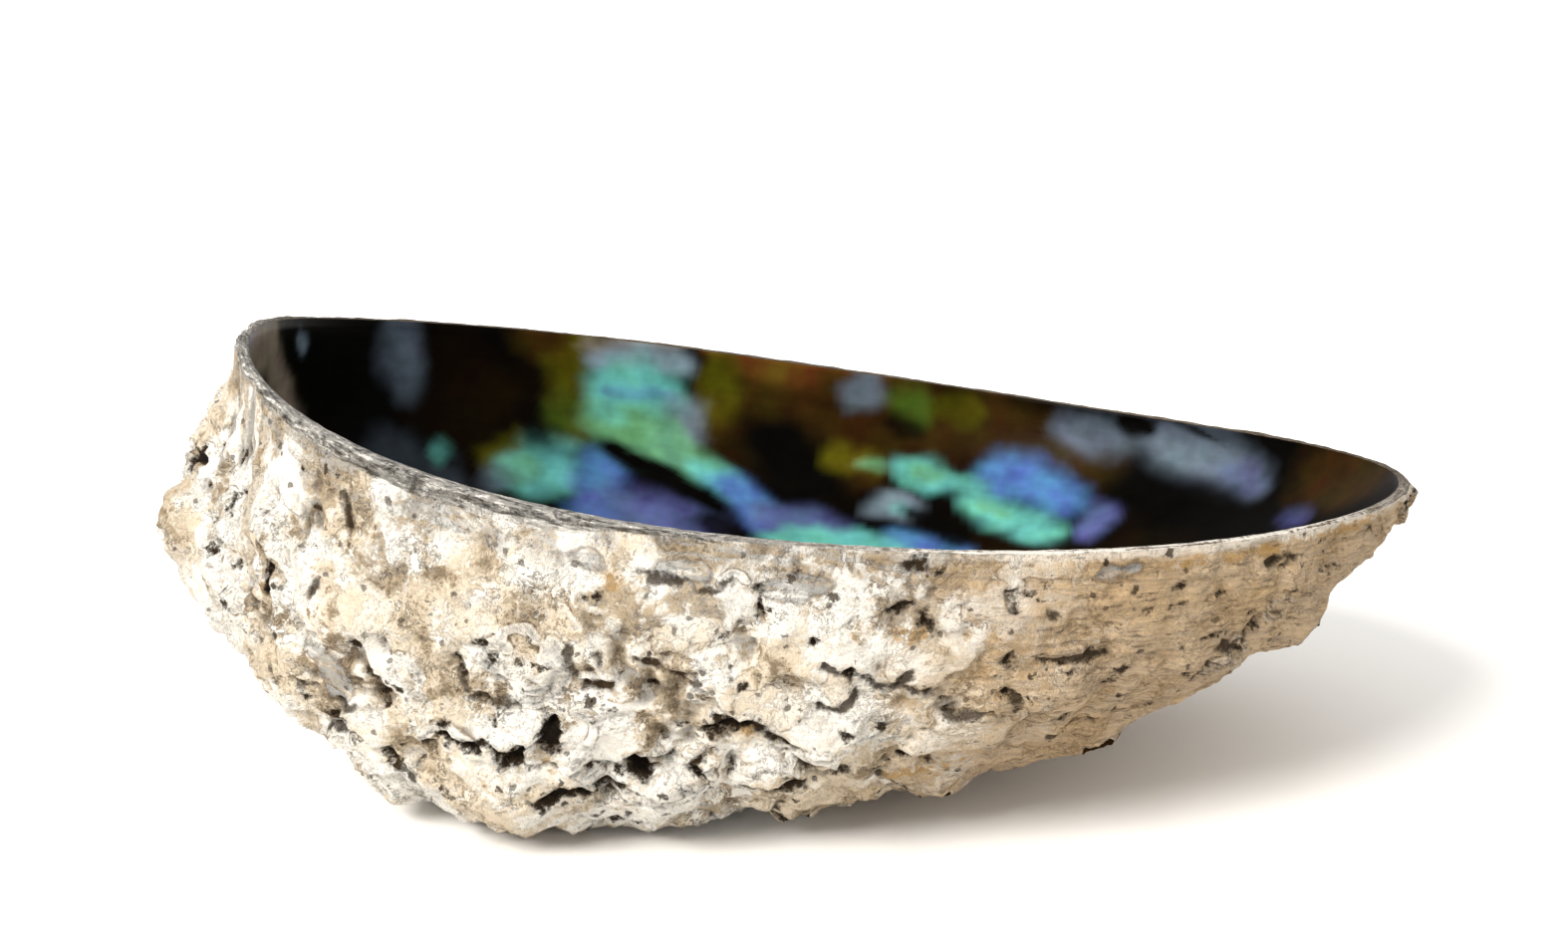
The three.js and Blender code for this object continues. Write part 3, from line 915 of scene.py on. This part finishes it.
def cloudy_nacre(points, ground, colours):
    """Colour where a noise is high, with a brown fringe. Its hue follows the level of another noise."""
    cloud = even(layered_noise(points, *CLOUD_NOISE))
    level = even(layered_noise(points, *HUE_NOISE))
    tint = linear(colours.violet)
    for low, name in CLOUD_COLOURS:
        tint = blended(tint, linear(getattr(colours, name)), smoothstep(level, low - 0.2, low + 0.2))
    painted = blended(ground, linear(colours.olive) * 0.6, smoothstep(cloud, -0.3, 0.2))
    return blended(painted, tint, 0.9 * smoothstep(cloud, 0.1, 0.5))


def nacre_colours(points, u, v, colours):
    """Painted sheen on a near-black ground: clouds on the floor and the near wall, and patches laid over each
    other on the far wall.

    Each patch is an oval whose edge is softened, on points shifted by noise.
    """
    shifted = points + sum(reach * noise_vectors(points, size, seed) for reach, size, seed in NACRE_SHIFTS)
    frayed = 0.3 * even(layered_noise(points, 4.0, 2, 180))
    haze = smoothstep(layered_noise(points, *HAZE_NOISE), -0.1, 0.4)
    # Near-black ground: nacre with no reflection painted on it, with a brown haze.
    painted = blended(linear(colours.ink), 0.2 * linear(colours.brown), haze)
    hidden = 1 - smoothstep(bell(u, *FAR_WALL), 0.3, 0.42) * smoothstep(v, 0.42, 0.56)
    painted = blended(painted, cloudy_nacre(shifted, painted, colours), hidden)
    for *oval, tilt, name, strength in NACRE_SHEEN_PATCHES:
        distance = oval_distance(shifted, *oval, -tilt) + frayed
        soft = 0.5 * min(oval[2:]) + 0.4
        share = strength * smoothstep(-distance, -soft, soft)
        painted = blended(painted, linear(getattr(colours, name)), share)
    return painted


def ring_grid(rings):
    """Direction u and height v of rings about the lowest point, ring k with RING_GROWTH times k points."""
    counts = RING_GROWTH * np.arange(rings + 1)
    counts[0] = 1
    ring = np.repeat(np.arange(rings + 1), counts)
    starts = np.cumsum(counts) - counts
    u = TURN * (np.arange(len(ring)) - starts[ring]) / counts[ring]
    return u, ring / rings, [start + np.arange(count) for start, count in zip(starts, counts)]


def zipped(lower, upper):
    """Triangles between two closed rings of even points: each step along one meets a point of the other."""
    count = len(lower)
    other = len(upper)
    i = np.arange(count)
    j = np.arange(other)
    facing = -(-i * other // count) - 1
    below = np.stack([lower[i - 1], lower[i], upper[facing % other]], -1)
    above = np.stack([lower[j * count // other], upper[j], upper[j - 1]], -1)
    return np.concatenate([below, above]) if count > 1 else above


def ring_faces(rings):
    return np.concatenate([zipped(low, high) for low, high in zip(rings[:-1], rings[1:])])


def lip_rows(outside, inside, u):
    """Rows across the broken edge from the outside to the inside, rounded like a low arch and roughened."""
    rows = []
    across = inside - outside
    width = np.linalg.norm(across, axis=1, keepdims=True)
    up = bowl_axes(u, np.ones_like(u))[1]
    for k in range(1, LIP_ROWS):
        share = k / LIP_ROWS
        here = outside + across * share
        rise = LIP_ARCH * width * np.sqrt(4 * share * (1 - share))
        rise += LIP_ROUGHNESS * noise(here, 1.6, 200)[:, None]
        rows.append(here + up * rise)
    return rows


def mesh_from(name, points, groups):
    """A mesh from points in millimetres and groups of faces, each group with the number of its material."""
    mesh = bpy.data.meshes.new(name)
    loops = np.concatenate([faces.ravel() for faces, _ in groups])
    totals = np.concatenate([np.full(len(faces), faces.shape[1]) for faces, _ in groups])
    materials = np.concatenate([np.full(len(faces), slot) for faces, slot in groups])
    starts = np.concatenate([[0], np.cumsum(totals)[:-1]])
    mesh.vertices.add(len(points))
    mesh.vertices.foreach_set("co", (points * MM).astype(np.float32).ravel())
    mesh.loops.add(len(loops))
    mesh.loops.foreach_set("vertex_index", loops.astype(np.int32))
    mesh.polygons.add(len(totals))
    mesh.polygons.foreach_set("loop_start", starts.astype(np.int32))
    mesh.polygons.foreach_set("material_index", materials.astype(np.int32))
    mesh.update(calc_edges=True)
    mesh.polygons.foreach_set("use_smooth", np.ones(len(totals), bool))
    return mesh


def add_attribute(mesh, name, kind, values):
    """One value for each point of a mesh: a number, a place or a colour."""
    attribute = mesh.attributes.new(name, kind, "POINT")
    part = {"FLOAT": "value", "FLOAT_VECTOR": "vector", "FLOAT_COLOR": "color"}[kind]
    attribute.data.foreach_set(part, values.astype(np.float32).ravel())


def shell_mesh(form, colours):
    """The closed shell: outside, rounded lip and inside joined along the lip."""
    out_u, out_v, out_rings = ring_grid(OUTSIDE_RINGS)
    in_u, in_v, in_rings = ring_grid(INSIDE_RINGS)
    out_edge = out_rings[-1]
    outside, fields, out_lay = crust_surface(out_u, out_v, form)
    inside = nacre_surface(in_u, in_v)
    edge_u = out_u[out_edge]
    top = np.ones_like(edge_u)
    rows = lip_rows(outside[out_edge], nacre_surface(edge_u, top), edge_u)
    points = np.concatenate([outside] + rows + [inside])
    in_start = len(points) - len(inside)
    row_starts = len(outside) + len(out_edge) * np.arange(len(rows))
    lip_rings = [out_edge] + [start + np.arange(len(out_edge)) for start in row_starts]
    groups = [
        (ring_faces(out_rings), CRUST),
        (ring_faces(lip_rings + [in_rings[-1] + in_start]), LIP),
        (ring_faces(in_rings)[:, ::-1] + in_start, NACRE),
    ]
    mesh = mesh_from("shell", points, groups)
    for name, values in fields.items():
        rest = np.zeros(len(points) - len(outside))
        add_attribute(mesh, name, "FLOAT", np.concatenate([values, rest]))
    lip_lay = [growth_coordinates(edge_u, top) - [0, 0, 0.8 * (k + 1)] for k in range(len(rows))]
    lay = np.concatenate([out_lay] + lip_lay + [growth_coordinates(in_u, in_v)])
    add_attribute(mesh, "lay", "FLOAT_VECTOR", lay * MM)
    painted = np.zeros((len(points), 4))
    painted[:, 3] = 1
    painted[in_start:, :3] = nacre_colours(inside, in_u, in_v, colours)
    painted[len(outside):in_start, :3] = linear(colours.lip)
    add_attribute(mesh, "nacre", "FLOAT_COLOR", painted)
    return mesh


def hole_plugs():
    """Round plugs for the open holes: two rings across the wall, the outer one wider, closed at both ends."""
    u, v, size = row_places()
    turn = np.linspace(0, TURN, HOLE_SIDES, endpoint=False)
    points = []
    quads = []
    caps = []
    for k in range(ROW_OPEN_HOLES):
        along, upwards, outwards = bowl_axes(u[k], v[k])
        centre = bowl_points(u[k], v[k])
        radius = HOLE_DIAMETER / 2 * size[k]
        ring = np.cos(turn)[:, None] * along + np.sin(turn)[:, None] * upwards
        outer = 2 * HOLE_SIDES * k + np.arange(HOLE_SIDES)
        inner = outer + HOLE_SIDES
        points.append(centre + outwards * HOLE_REACH + ring * radius)
        points.append(centre - outwards * HOLE_REACH + ring * radius * HOLE_TAPER)
        quads.append(np.stack([outer, inner, np.roll(inner, -1), np.roll(outer, -1)], -1))
        caps.append(outer)
        caps.append(inner[::-1])
    groups = [(np.concatenate(quads), NACRE), (np.array(caps), NACRE)]
    return mesh_from("hole_plugs", np.concatenate(points), groups)


def cut_holes(shell, colours):
    """Takes the plugs out of the shell with a Boolean modifier, which is applied.

    New points along the cut come out white, so they get dark nacre.
    """
    plugs = bpy.data.objects.new("hole_plugs", hole_plugs())
    bpy.context.scene.collection.objects.link(plugs)
    for finish in shell.data.materials:
        plugs.data.materials.append(finish)
    cut = shell.modifiers.new("breathing_holes", "BOOLEAN")
    cut.operation = "DIFFERENCE"
    cut.solver = "EXACT"
    cut.object = plugs
    bpy.context.view_layer.objects.active = shell
    bpy.ops.object.modifier_apply(modifier=cut.name)
    painted = shell.data.attributes["nacre"].data
    values = np.empty(len(painted) * 4, np.float32)
    painted.foreach_get("color", values)
    values = values.reshape(-1, 4)
    values[np.all(values[:, :3] > 0.99, axis=1), :3] = linear(colours.brown)
    painted.foreach_set("color", values.ravel())
    mesh = plugs.data
    bpy.data.objects.remove(plugs)
    bpy.data.meshes.remove(mesh)


class Value:
    """A number on its way through a material: a socket whose sums and products add Math nodes."""

    def __init__(self, finish, socket):
        self.finish = finish
        self.socket = socket

    def maths(self, operation, first, second):
        sockets = {0: first, 1: second}
        return self.finish.value("ShaderNodeMath", {"operation": operation}, sockets)

    def __add__(self, other):
        return self.maths("ADD", self, other)

    def __sub__(self, other):
        return self.maths("SUBTRACT", self, other)

    def __rsub__(self, other):
        return self.maths("SUBTRACT", other, self)

    def __mul__(self, other):
        return self.maths("MULTIPLY", self, other)

    def __abs__(self):
        return self.maths("ABSOLUTE", self, 0.0)

    def __gt__(self, other):
        return self.maths("GREATER_THAN", self, other)

    __radd__ = __add__
    __rmul__ = __mul__


class Finish:
    """A material with one Principled shader, and the nodes that feed it."""

    def __init__(self, name, settings):
        self.material = bpy.data.materials.new(name)
        self.material.use_nodes = True
        self.tree = self.material.node_tree
        self.tree.nodes.clear()
        output = self.tree.nodes.new("ShaderNodeOutputMaterial")
        self.shader = self.node("ShaderNodeBsdfPrincipled", {}, settings)
        self.tree.links.new(self.shader.outputs[0], output.inputs["Surface"])
        self.place = self.node("ShaderNodeTexCoord", {}, {}).outputs["Object"]

    def node(self, kind, settings, sockets):
        """Any node: its settings first, then the values or links of its sockets."""
        made = self.tree.nodes.new(kind)
        for name, setting in settings.items():
            setattr(made, name, setting)
        self.connect(made, sockets)
        return made

    def connect(self, node, sockets):
        for name, given in sockets.items():
            socket = node.inputs[name]
            if isinstance(given, Value):
                self.tree.links.new(given.socket, socket)
            elif isinstance(given, bpy.types.NodeSocket):
                self.tree.links.new(given, socket)
            else:
                socket.default_value = given

    def value(self, kind, settings, sockets, output=0):
        return Value(self, self.node(kind, settings, sockets).outputs[output])

    def step(self, value, low, high):
        """0 below low, 1 above high, smooth between."""
        sockets = {"Value": value, "From Min": low, "From Max": high}
        return self.value("ShaderNodeMapRange", {"interpolation_type": "SMOOTHSTEP"}, sockets)

    def limit(self, value):
        return self.value("ShaderNodeClamp", {}, {"Value": value})

    def mix(self, share, low, high):
        """One colour to another."""
        sockets = {0: share, 6: low, 7: high}
        return self.node("ShaderNodeMix", {"data_type": "RGBA"}, sockets).outputs[2]

    def attribute(self, name, output):
        """A point attribute: a number from Fac, a place from Vector or a colour from Color."""
        return self.node("ShaderNodeAttribute", {"attribute_name": name}, {}).outputs[output]

    def along_growth(self, scale):
        """The lines of growth as coordinates, scaled along each axis."""
        sockets = {0: self.attribute("lay", "Vector"), 1: scale}
        return self.node("ShaderNodeVectorMath", {"operation": "MULTIPLY"}, sockets).outputs[0]

    def noise(self, size, detail, roughness, place=None, distortion=0.0):
        """Cloudy noise with lumps of that size in millimetres, from 0 to 1."""
        sockets = {
            "Vector": place or self.place,
            "Scale": 1000 / size,
            "Detail": detail,
            "Roughness": roughness,
            "Distortion": distortion,
        }
        return self.value("ShaderNodeTexNoise", {}, sockets)

    def dots(self, size, radius, share, ragged, place=None):
        """Ragged dots: cells of that size, of which a share has a dot of that radius, in cells."""
        sockets = {"Vector": place or self.place, "Scale": 1000 / size}
        cells = self.node("ShaderNodeTexVoronoi", {}, sockets)
        luck = Value(self, self.node("ShaderNodeSeparateColor", {}, {0: cells.outputs["Color"]}).outputs[0])
        near = 1 - self.step(Value(self, cells.outputs["Distance"]) + ragged * radius, radius * 0.6, radius)
        return near * (luck > 1 - share)

    def bump(self, height, distance, strength):
        sockets = {"Strength": strength, "Distance": distance, "Height": height}
        return self.node("ShaderNodeBump", {}, sockets).outputs[0]

    def feed(self, sockets):
        self.connect(self.shader, sockets)
        return self.material


def rgba(shade):
    return (*linear(shade), 1.0)


class CrustFinish(Finish):
    """The crust's material: noises and marks that its layers share, and a method for each layer of colour."""

    FIELDS = (
        *("crack", "tube", "bore", "hollow", "scar", "flake", "stain", "smudge"),
        *("plate", "growing", "folded", "height", "rim"),
    )

    def __init__(self, colours):
        super().__init__("shell_crust", {"Specular IOR Level": 0.1})
        self.colours = colours
        for name in self.FIELDS:
            setattr(self, name, Value(self, self.attribute(name, "Fac")))
        self.streaked = self.along_growth((1, 1, 6))
        self.cloud = self.noise(14, 4, 0.6)
        self.mist = self.noise(7, 5, 0.62, distortion=0.6)
        self.crumb = self.noise(4.2, 6, 0.7, distortion=0.4)
        self.grit = self.noise(0.9, 5, 0.74)
        self.flecks = self.noise(5.0, 5, 0.66, self.streaked)
        self.grain = self.noise(8, 4, 0.62, self.along_growth((1, 1, 16)))
        self.uneven = (self.crumb - 0.5) * 5 + (self.grit - 0.5) * 4
        self.tanned = self.step(self.growing + (self.crumb - 0.5) * 0.6, 0.2, 0.56)
        self.plain = self.inside(self.flake, -0.2, 0.1, grit=0.8)
        self.bare = self.inside(self.scar, -0.2, 0.1, grit=1.0)
        self.layer = self.plate * 0.55 + (self.crumb - 0.5) * 7 + (self.grit - 0.5) * 2.4 + 0.35

    def paint(self, name):
        return rgba(getattr(self.colours, name))

    def inside(self, field, low, high, grit=0, crumb=0):
        """1 where a field is below low and 0 above high, along an edge frayed by grit and crumbs."""
        if grit:
            field = field + (self.grit - 0.5) * grit
        if crumb:
            field = field + (self.crumb - 0.5) * crumb
        return 1 - self.step(field, low, high)

    def earth(self):
        """Granular dirt, soil with tan grains."""
        grains = self.step(self.grit, 0.4, 0.58) * 0.5 + 0.1
        return self.mix(grains, self.paint("soil"), self.paint("tan"))

    def ground(self):
        """Chalk with tan clouds, dirt by noise, the earth colour spreading further in smudges and near the
        rim, pepper, and painted shadow at the scabs' feet.
        """
        soil = self.paint("soil")
        aged = self.step((self.cloud - 0.5) * 7 + self.uneven * 0.6, -0.4, 0.6)
        near_rim = self.inside(self.rim, 2.0, 10.0)
        # Darker ground near the rim and in the smudges: the earth colour spreads further there.
        smudged = self.inside(self.smudge + self.uneven * 0.8, -1.5, 1.5)
        dirt = (self.mist - 0.5) * 8 + self.uneven - self.plate * 0.25 + near_rim * 0.5 + smudged * 1.1
        pepper = (self.grit - 0.5) * 4 + (self.mist - 0.5) * 5 + (self.crumb - 0.5) * 3
        # Painted shadow: a thin band just below each scab's edge, where the ledge shades the ground.
        painted_ledge_shadow = self.step(self.layer, -0.4, -0.05) * self.inside(self.layer, 0, 0.1)
        shade = self.mix(aged * 0.7, self.paint("chalk"), self.paint("tan"))
        shade = self.mix(self.step(dirt, 0.3, 1.3) * 0.8, shade, self.earth())
        shade = self.mix(self.step(pepper, 0.75, 1.15) * 0.6, shade, soil)
        # Lays that painted shadow in soil colour, broken up by mist.
        return self.mix(painted_ledge_shadow * self.step(self.mist, 0.46, 0.56) * 0.6, shade, soil)

    def growth(self, shade):
        """Sandy growing end with lines of growth and a pale rim, and brown folds beside the spire."""
        soil = self.paint("soil")
        drape = self.noise(3.4, 5, 0.64, self.along_growth(FOLDS_RUN))
        pale = self.inside(self.rim, 0.8, 1.8, crumb=2)
        sandy = self.mix(self.step(self.grain, 0.38, 0.62) * 0.35 + 0.12, self.paint("sand"), soil)
        brown = self.mix(0.45, self.paint("tan"), soil)
        shade = self.mix(self.tanned * 0.85, shade, sandy)
        shade = self.mix(self.step(self.flecks, 0.54, 0.66) * self.tanned * 0.55, shade, soil)
        shade = self.mix(self.step(self.mist, 0.52, 0.66) * self.tanned * 0.15, shade, self.paint("scar"))
        shade = self.mix(self.step(drape, 0.5, 0.62) * self.folded * 0.7, shade, brown)
        return self.mix(pale * self.tanned * 0.5, shade, self.paint("chalk"))

    def patches(self, shade):
        """Pale flakes, grey scars and ochre stains."""
        pale = self.mix(self.step(self.crumb, 0.36, 0.6) * 0.5 + 0.2, self.paint("chalk"), self.paint("tan"))
        rusty = self.inside(self.stain, -0.3, 0.3, crumb=2.0)
        shade = self.mix(self.plain * (0.75 - self.tanned * 0.5), shade, pale)
        shade = self.mix(self.bare * self.step(self.flecks, 0.34, 0.56) * 0.8, shade, self.paint("scar"))
        return self.mix(rusty * self.step(self.uneven, -0.5, 0.5) * 0.75, shade, self.paint("ochre"))

    def grey_band(self, shade):
        """Worn layers below the broad lip, and streaks of dirt and grey under the rest of the lip."""
        hollow_shade_and_dark_layers = self.paint("hollow_shade_and_dark_layers")
        strata = self.noise(1.9, 5, 0.68, self.along_growth((1, 1, 3.5))) + (self.mist - 0.5) * 0.5
        flaked = self.step(strata + (self.grit - 0.5) * 0.5, 0.54, 0.68)
        spots = self.step(self.crumb + (self.grit - 0.5) * 0.8, 0.55, 0.63)
        worn = self.mix(self.step(strata, 0.36, 0.54), hollow_shade_and_dark_layers, self.paint("lip"))
        worn = self.mix(flaked * 0.8, worn, self.paint("chalk"))
        worn = self.mix(spots * 0.85, worn, hollow_shade_and_dark_layers)
        under = self.inside(self.rim, 1.5, 6.0, crumb=10) * (1 - self.tanned)
        under = under * self.step(self.mist, 0.38, 0.55)
        streaks = self.mix(self.step(self.flecks, 0.42, 0.58), self.earth(), self.paint("scar"))
        shade = self.mix(under * 0.65, shade, streaks)
        return self.mix(self.inside(self.rim + (self.flecks - 0.5) * 4.0, -0.4, 0.4) * 0.9, shade, worn)

    def outlines(self, shade):
        """Pale backs and dark middles of worm tubes, a broken ring of painted shadow round each tube, and
        broken brown lines round flakes and scars.
        """
        soil = self.paint("soil")
        ridge = self.inside(self.tube, 0.8, 1.0)
        core = self.inside(self.tube, 0.2, 0.6, grit=0.6)
        # Painted shadow: a thin dark ring just outside each worm tube, where the tube shades the crust.
        ring = self.step(self.tube, 0.8, 1.0) * self.inside(self.tube, 1.05, 1.5)
        outline = self.inside(abs(self.flake), 0.05, 0.3, grit=0.5)
        edge = self.inside(abs(self.scar), 0.1, 0.35, grit=0.5)
        broken = self.step(self.crumb + (self.grit - 0.5) * 0.4, 0.46, 0.58)
        # The tube rings here are painted shadow. The lines round flakes and scars are their own brown.
        lines = self.limit((ring * 0.8 + outline * 0.6) * broken + edge * 0.5)
        shade = self.mix(ridge * (0.6 - self.tanned * 0.45), shade, self.paint("chalk"))
        shade = self.mix(core * 0.6, shade, self.mix(self.tanned, self.paint("scar"), soil))
        return self.mix(lines * 0.9, shade, soil)

    def painted_shade_and_dashes(self):
        """How dark each place is: painted shade in cracks, hollows, borings and low places of the relief,
        black dots that stand for the shade in pinholes, and dark dashes.
        """
        ragged = (self.grit - 0.5) * 5 + (self.crumb - 0.5) * 3
        # Painted shade: black dots that stand for the shade inside pinholes; the dashes are dark flecks.
        pinhole_shade = self.dots(1.7, 0.22, 0.2, ragged)
        small_pinhole_shade = self.dots(4.2, 0.15, 0.3, ragged)
        dashes = self.dots(3.6, 0.26, 0.3, ragged, self.streaked)
        dots = pinhole_shade * 0.7 + small_pinhole_shade * 0.9 + dashes * self.tanned * 0.5
        # Painted shade in cracks, hollows, borings and low places of the relief.
        line = self.inside(self.crack, 0.15, 0.6, grit=1.4, crumb=2.4)
        painted_hollow_shade = self.inside(self.hollow, -0.4, 0.15, grit=3.0, crumb=3.0)
        painted_bore_shade = self.inside(self.bore, -0.2, 0.1)
        painted_low_shade = self.inside(self.height, -1.9, -0.9, grit=1.6)
        return self.limit(line * 0.9 + painted_hollow_shade + painted_bore_shade * 0.9 + painted_low_shade * 0.6 + dots)

    def finished(self):
        """The layers in order and painted shade over them, with scabs, grit, the shaded marks and lines of
        growth in the bump.
        """
        shade = self.grey_band(self.patches(self.growth(self.ground())))
        # Painted shade of cracks, hollows, borings, low places and pinholes, with dark dashes, laid over the
        # rest as dark colour.
        dark = self.painted_shade_and_dashes()
        # Colour of the painted shade: near black, soil brown where a hollow is shallow.
        shallow = self.step(self.hollow + (self.grit - 0.5) * 2.0, -1.0, 0.0)
        painted_shade_colour = self.mix(shallow * 0.45, self.paint("hollow_shade_and_dark_layers"), self.paint("soil"))
        shade = self.mix(dark, self.outlines(shade), painted_shade_colour)
        scabs = self.step(self.layer, -0.12, 0.12) + self.step(self.layer, 0.8, 0.9)
        relief = scabs * 0.5 + self.grit * 0.8 + self.crumb * 0.8 - dark * 0.8
        normal = self.bump(relief + self.grain * self.growing * 0.8, 0.0016, 0.9)
        rough = 0.92 - self.bare * 0.25 - self.plain * 0.06
        return self.feed({"Base Color": shade, "Roughness": rough, "Normal": normal})


def crust_finish(colours):
    return CrustFinish(colours).finished()


def lip_finish(colours):
    """The broken edge: grey layers seen end on at the broad lip, pale at the growing end, brown far off."""
    made = Finish("shell_lip", {"Specular IOR Level": 0.3})
    parts = made.node("ShaderNodeSeparateXYZ", {}, {0: made.place}).outputs
    x, y, _ = [Value(made, part) for part in parts]
    hollow_shade_and_dark_layers, chalk, soil = rgba(colours.hollow_shade_and_dark_layers), rgba(colours.chalk), rgba(colours.soil)
    growing = made.step(x, -0.02, 0.03)
    far = made.step(y, -0.02, 0.02)
    streaks = made.noise(1.9, 5, 0.68, made.along_growth((1, 1, 3.5)))
    grit = made.noise(0.8, 4, 0.7)
    crumb = made.noise(4.2, 6, 0.7, distortion=0.4)
    shade = made.mix(made.step(streaks, 0.32, 0.5), hollow_shade_and_dark_layers, rgba(colours.lip))
    shade = made.mix(made.step(streaks + (grit - 0.5) * 0.5, 0.52, 0.68) * 0.8, shade, chalk)
    shade = made.mix(made.step(crumb + (grit - 0.5) * 0.8, 0.55, 0.63) * 0.8, shade, hollow_shade_and_dark_layers)
    strata = made.noise(2.4, 4, 0.65, made.along_growth((0.3, 0.3, 4)))
    light = made.mix(made.step(strata + (grit - 0.5) * 0.7, 0.42, 0.54), soil, made.mix(0.25, chalk, soil))
    shade = made.mix(growing * 0.9, shade, light)
    dark = made.mix(made.step(streaks, 0.4, 0.7), rgba(colours.brown), rgba(colours.shade))
    tip = made.step(x + (streaks - 0.5) * 0.03, 0.066, 0.08)
    shade = made.mix(made.limit(far * 0.95 + tip * 0.7), shade, dark)
    normal = made.bump(streaks + grit * 0.5, 0.0005, 0.7)
    return made.feed({"Base Color": shade, "Roughness": 0.6 + grit * 0.2, "Normal": normal})


def nacre_finish(colours):
    """Glossy lining: the patches of painted sheen, their hue and brightness varied by noise and lines of
    growth.
    """
    made = Finish("shell_nacre", {"Coat Roughness": 0.2, "Coat IOR": 1.3, "Specular IOR Level": 0.012})
    lines = made.noise(9, 3, 0.5, made.along_growth((1, 1, 5)))
    cloud = made.noise(5, 2, 0.5)
    drift = made.noise(6, 2, 0.5)
    sockets = {
        "Hue": 0.5 + (drift - 0.5) * 0.12,
        "Saturation": 1.0,
        "Value": 0.95 + (lines - 0.5) * 0.35 + (cloud - 0.5) * 1.2,
        "Color": made.attribute("nacre", "Color"),
    }
    shade = made.node("ShaderNodeHueSaturation", {}, sockets).outputs[0]
    normal = made.bump(lines + cloud * 0.6, 0.0004, 0.2)
    return made.feed(
        {
            "Base Color": shade,
            "Roughness": 0.26 + cloud * 0.16,
            "Coat Weight": cloud * 0.03,
            "Normal": normal,
        }
    )


class ABALONE_OT_shell(bpy.types.Operator):
    """Build the shell and its crust, lip and nacre finishes"""

    bl_idname = "abalone.shell"
    bl_label = "Shell"

    def execute(self, context):
        scene = context.scene
        shell = bpy.data.objects.new("abalone_shell", shell_mesh(scene.shell_form, scene.shell_colours))
        scene.collection.objects.link(shell)
        for finish in (crust_finish, lip_finish, nacre_finish):
            shell.data.materials.append(finish(scene.shell_colours))
        cut_holes(shell, scene.shell_colours)
        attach(shell, "root")
        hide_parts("shell")
        return {"FINISHED"}


def look_at(thing, place, target):
    thing.location = Vector(place) * MM
    thing.rotation_euler = (Vector(target) - Vector(place)).to_track_quat("-Z", "Y").to_euler()


def soft_sun(name, place, spread, strength, shade):
    """A broad light from the direction of a place, even over the whole floor. The spread is in degrees."""
    lamp = bpy.data.lights.new(name, "SUN")
    lamp.angle = np.radians(spread)
    lamp.energy = strength
    lamp.color = shade
    thing = bpy.data.objects.new(name, lamp)
    look_at(thing, place, (0, 0, 0))
    bpy.context.scene.collection.objects.link(thing)


def floor_mesh():
    """A flat square, a hair under the shell."""
    corners = [(-1, -1), (1, -1), (1, 1), (-1, 1)]
    points = np.array([(x * FLOOR_HALF, y * FLOOR_HALF, FLOOR_Z) for x, y in corners])
    return mesh_from("floor", points, [(np.array([[0, 1, 2, 3]]), 0)])


def floor_finish(shade):
    """Plain and pale, with the faintest clouds."""
    made = Finish("floor", {"Roughness": 0.7})
    cloud = made.noise(60, 3, 0.5)
    return made.feed({"Base Color": made.mix(cloud * 0.08, rgba(shade), rgba(FLOOR_CLOUD))})


class ABALONE_OT_stage(bpy.types.Operator):
    """Build the floor, the lights and the camera"""

    bl_idname = "abalone.stage"
    bl_label = "Stage"

    def execute(self, context):
        scene = context.scene
        look = scene.stage_look
        floor = bpy.data.objects.new("floor", floor_mesh())
        floor.data.materials.append(floor_finish(look.floor))
        scene.collection.objects.link(floor)
        soft_sun("key_light", KEY_PLACE, KEY_SPREAD, look.key_strength, KEY_COLOUR)
        world = bpy.data.worlds.new("sky")
        world.use_nodes = True
        sky = world.node_tree.nodes["Background"]
        sky.inputs["Color"].default_value = SKY_COLOUR
        sky.inputs["Strength"].default_value = look.sky_strength
        scene.world = world
        camera = bpy.data.objects.new("camera", bpy.data.cameras.new("camera"))
        camera.data.sensor_width = CAMERA_SENSOR
        camera.data.lens = CAMERA_LENS
        look_at(camera, CAMERA_PLACE, CAMERA_TARGET)
        scene.collection.objects.link(camera)
        scene.camera = camera
        scene.view_settings.view_transform = "Standard"
        return {"FINISHED"}


class ABALONE_PT_panel(bpy.types.Panel):
    """Lists the pieces and their settings"""

    bl_idname = "ABALONE_PT_panel"
    bl_label = "Abalone shell"
    bl_space_type = "VIEW_3D"
    bl_region_type = "UI"
    bl_category = "Abalone"

    def draw(self, context):
        for group in ("shell_form", "shell_colours", "stage_look"):
            settings = getattr(context.scene, group)
            for name in settings.__annotations__:
                self.layout.prop(settings, name)
        self.layout.operator("abalone.shell")
        self.layout.operator("abalone.stage")


CLASSES = (ShellForm, ShellColours, StageLook, ABALONE_OT_shell, ABALONE_OT_stage, ABALONE_PT_panel)
GROUPS = {"shell_form": ShellForm, "shell_colours": ShellColours, "stage_look": StageLook}


def register():
    for entry in CLASSES:
        bpy.utils.register_class(entry)
    for name, group in GROUPS.items():
        setattr(bpy.types.Scene, name, bpy.props.PointerProperty(type=group))


def unregister():
    for name in GROUPS:
        delattr(bpy.types.Scene, name)
    for entry in reversed(CLASSES):
        bpy.utils.unregister_class(entry)


def main():
    register()
    bpy.ops.abalone.stage()
    bpy.ops.abalone.shell()


if __name__ == "__main__":
    main()
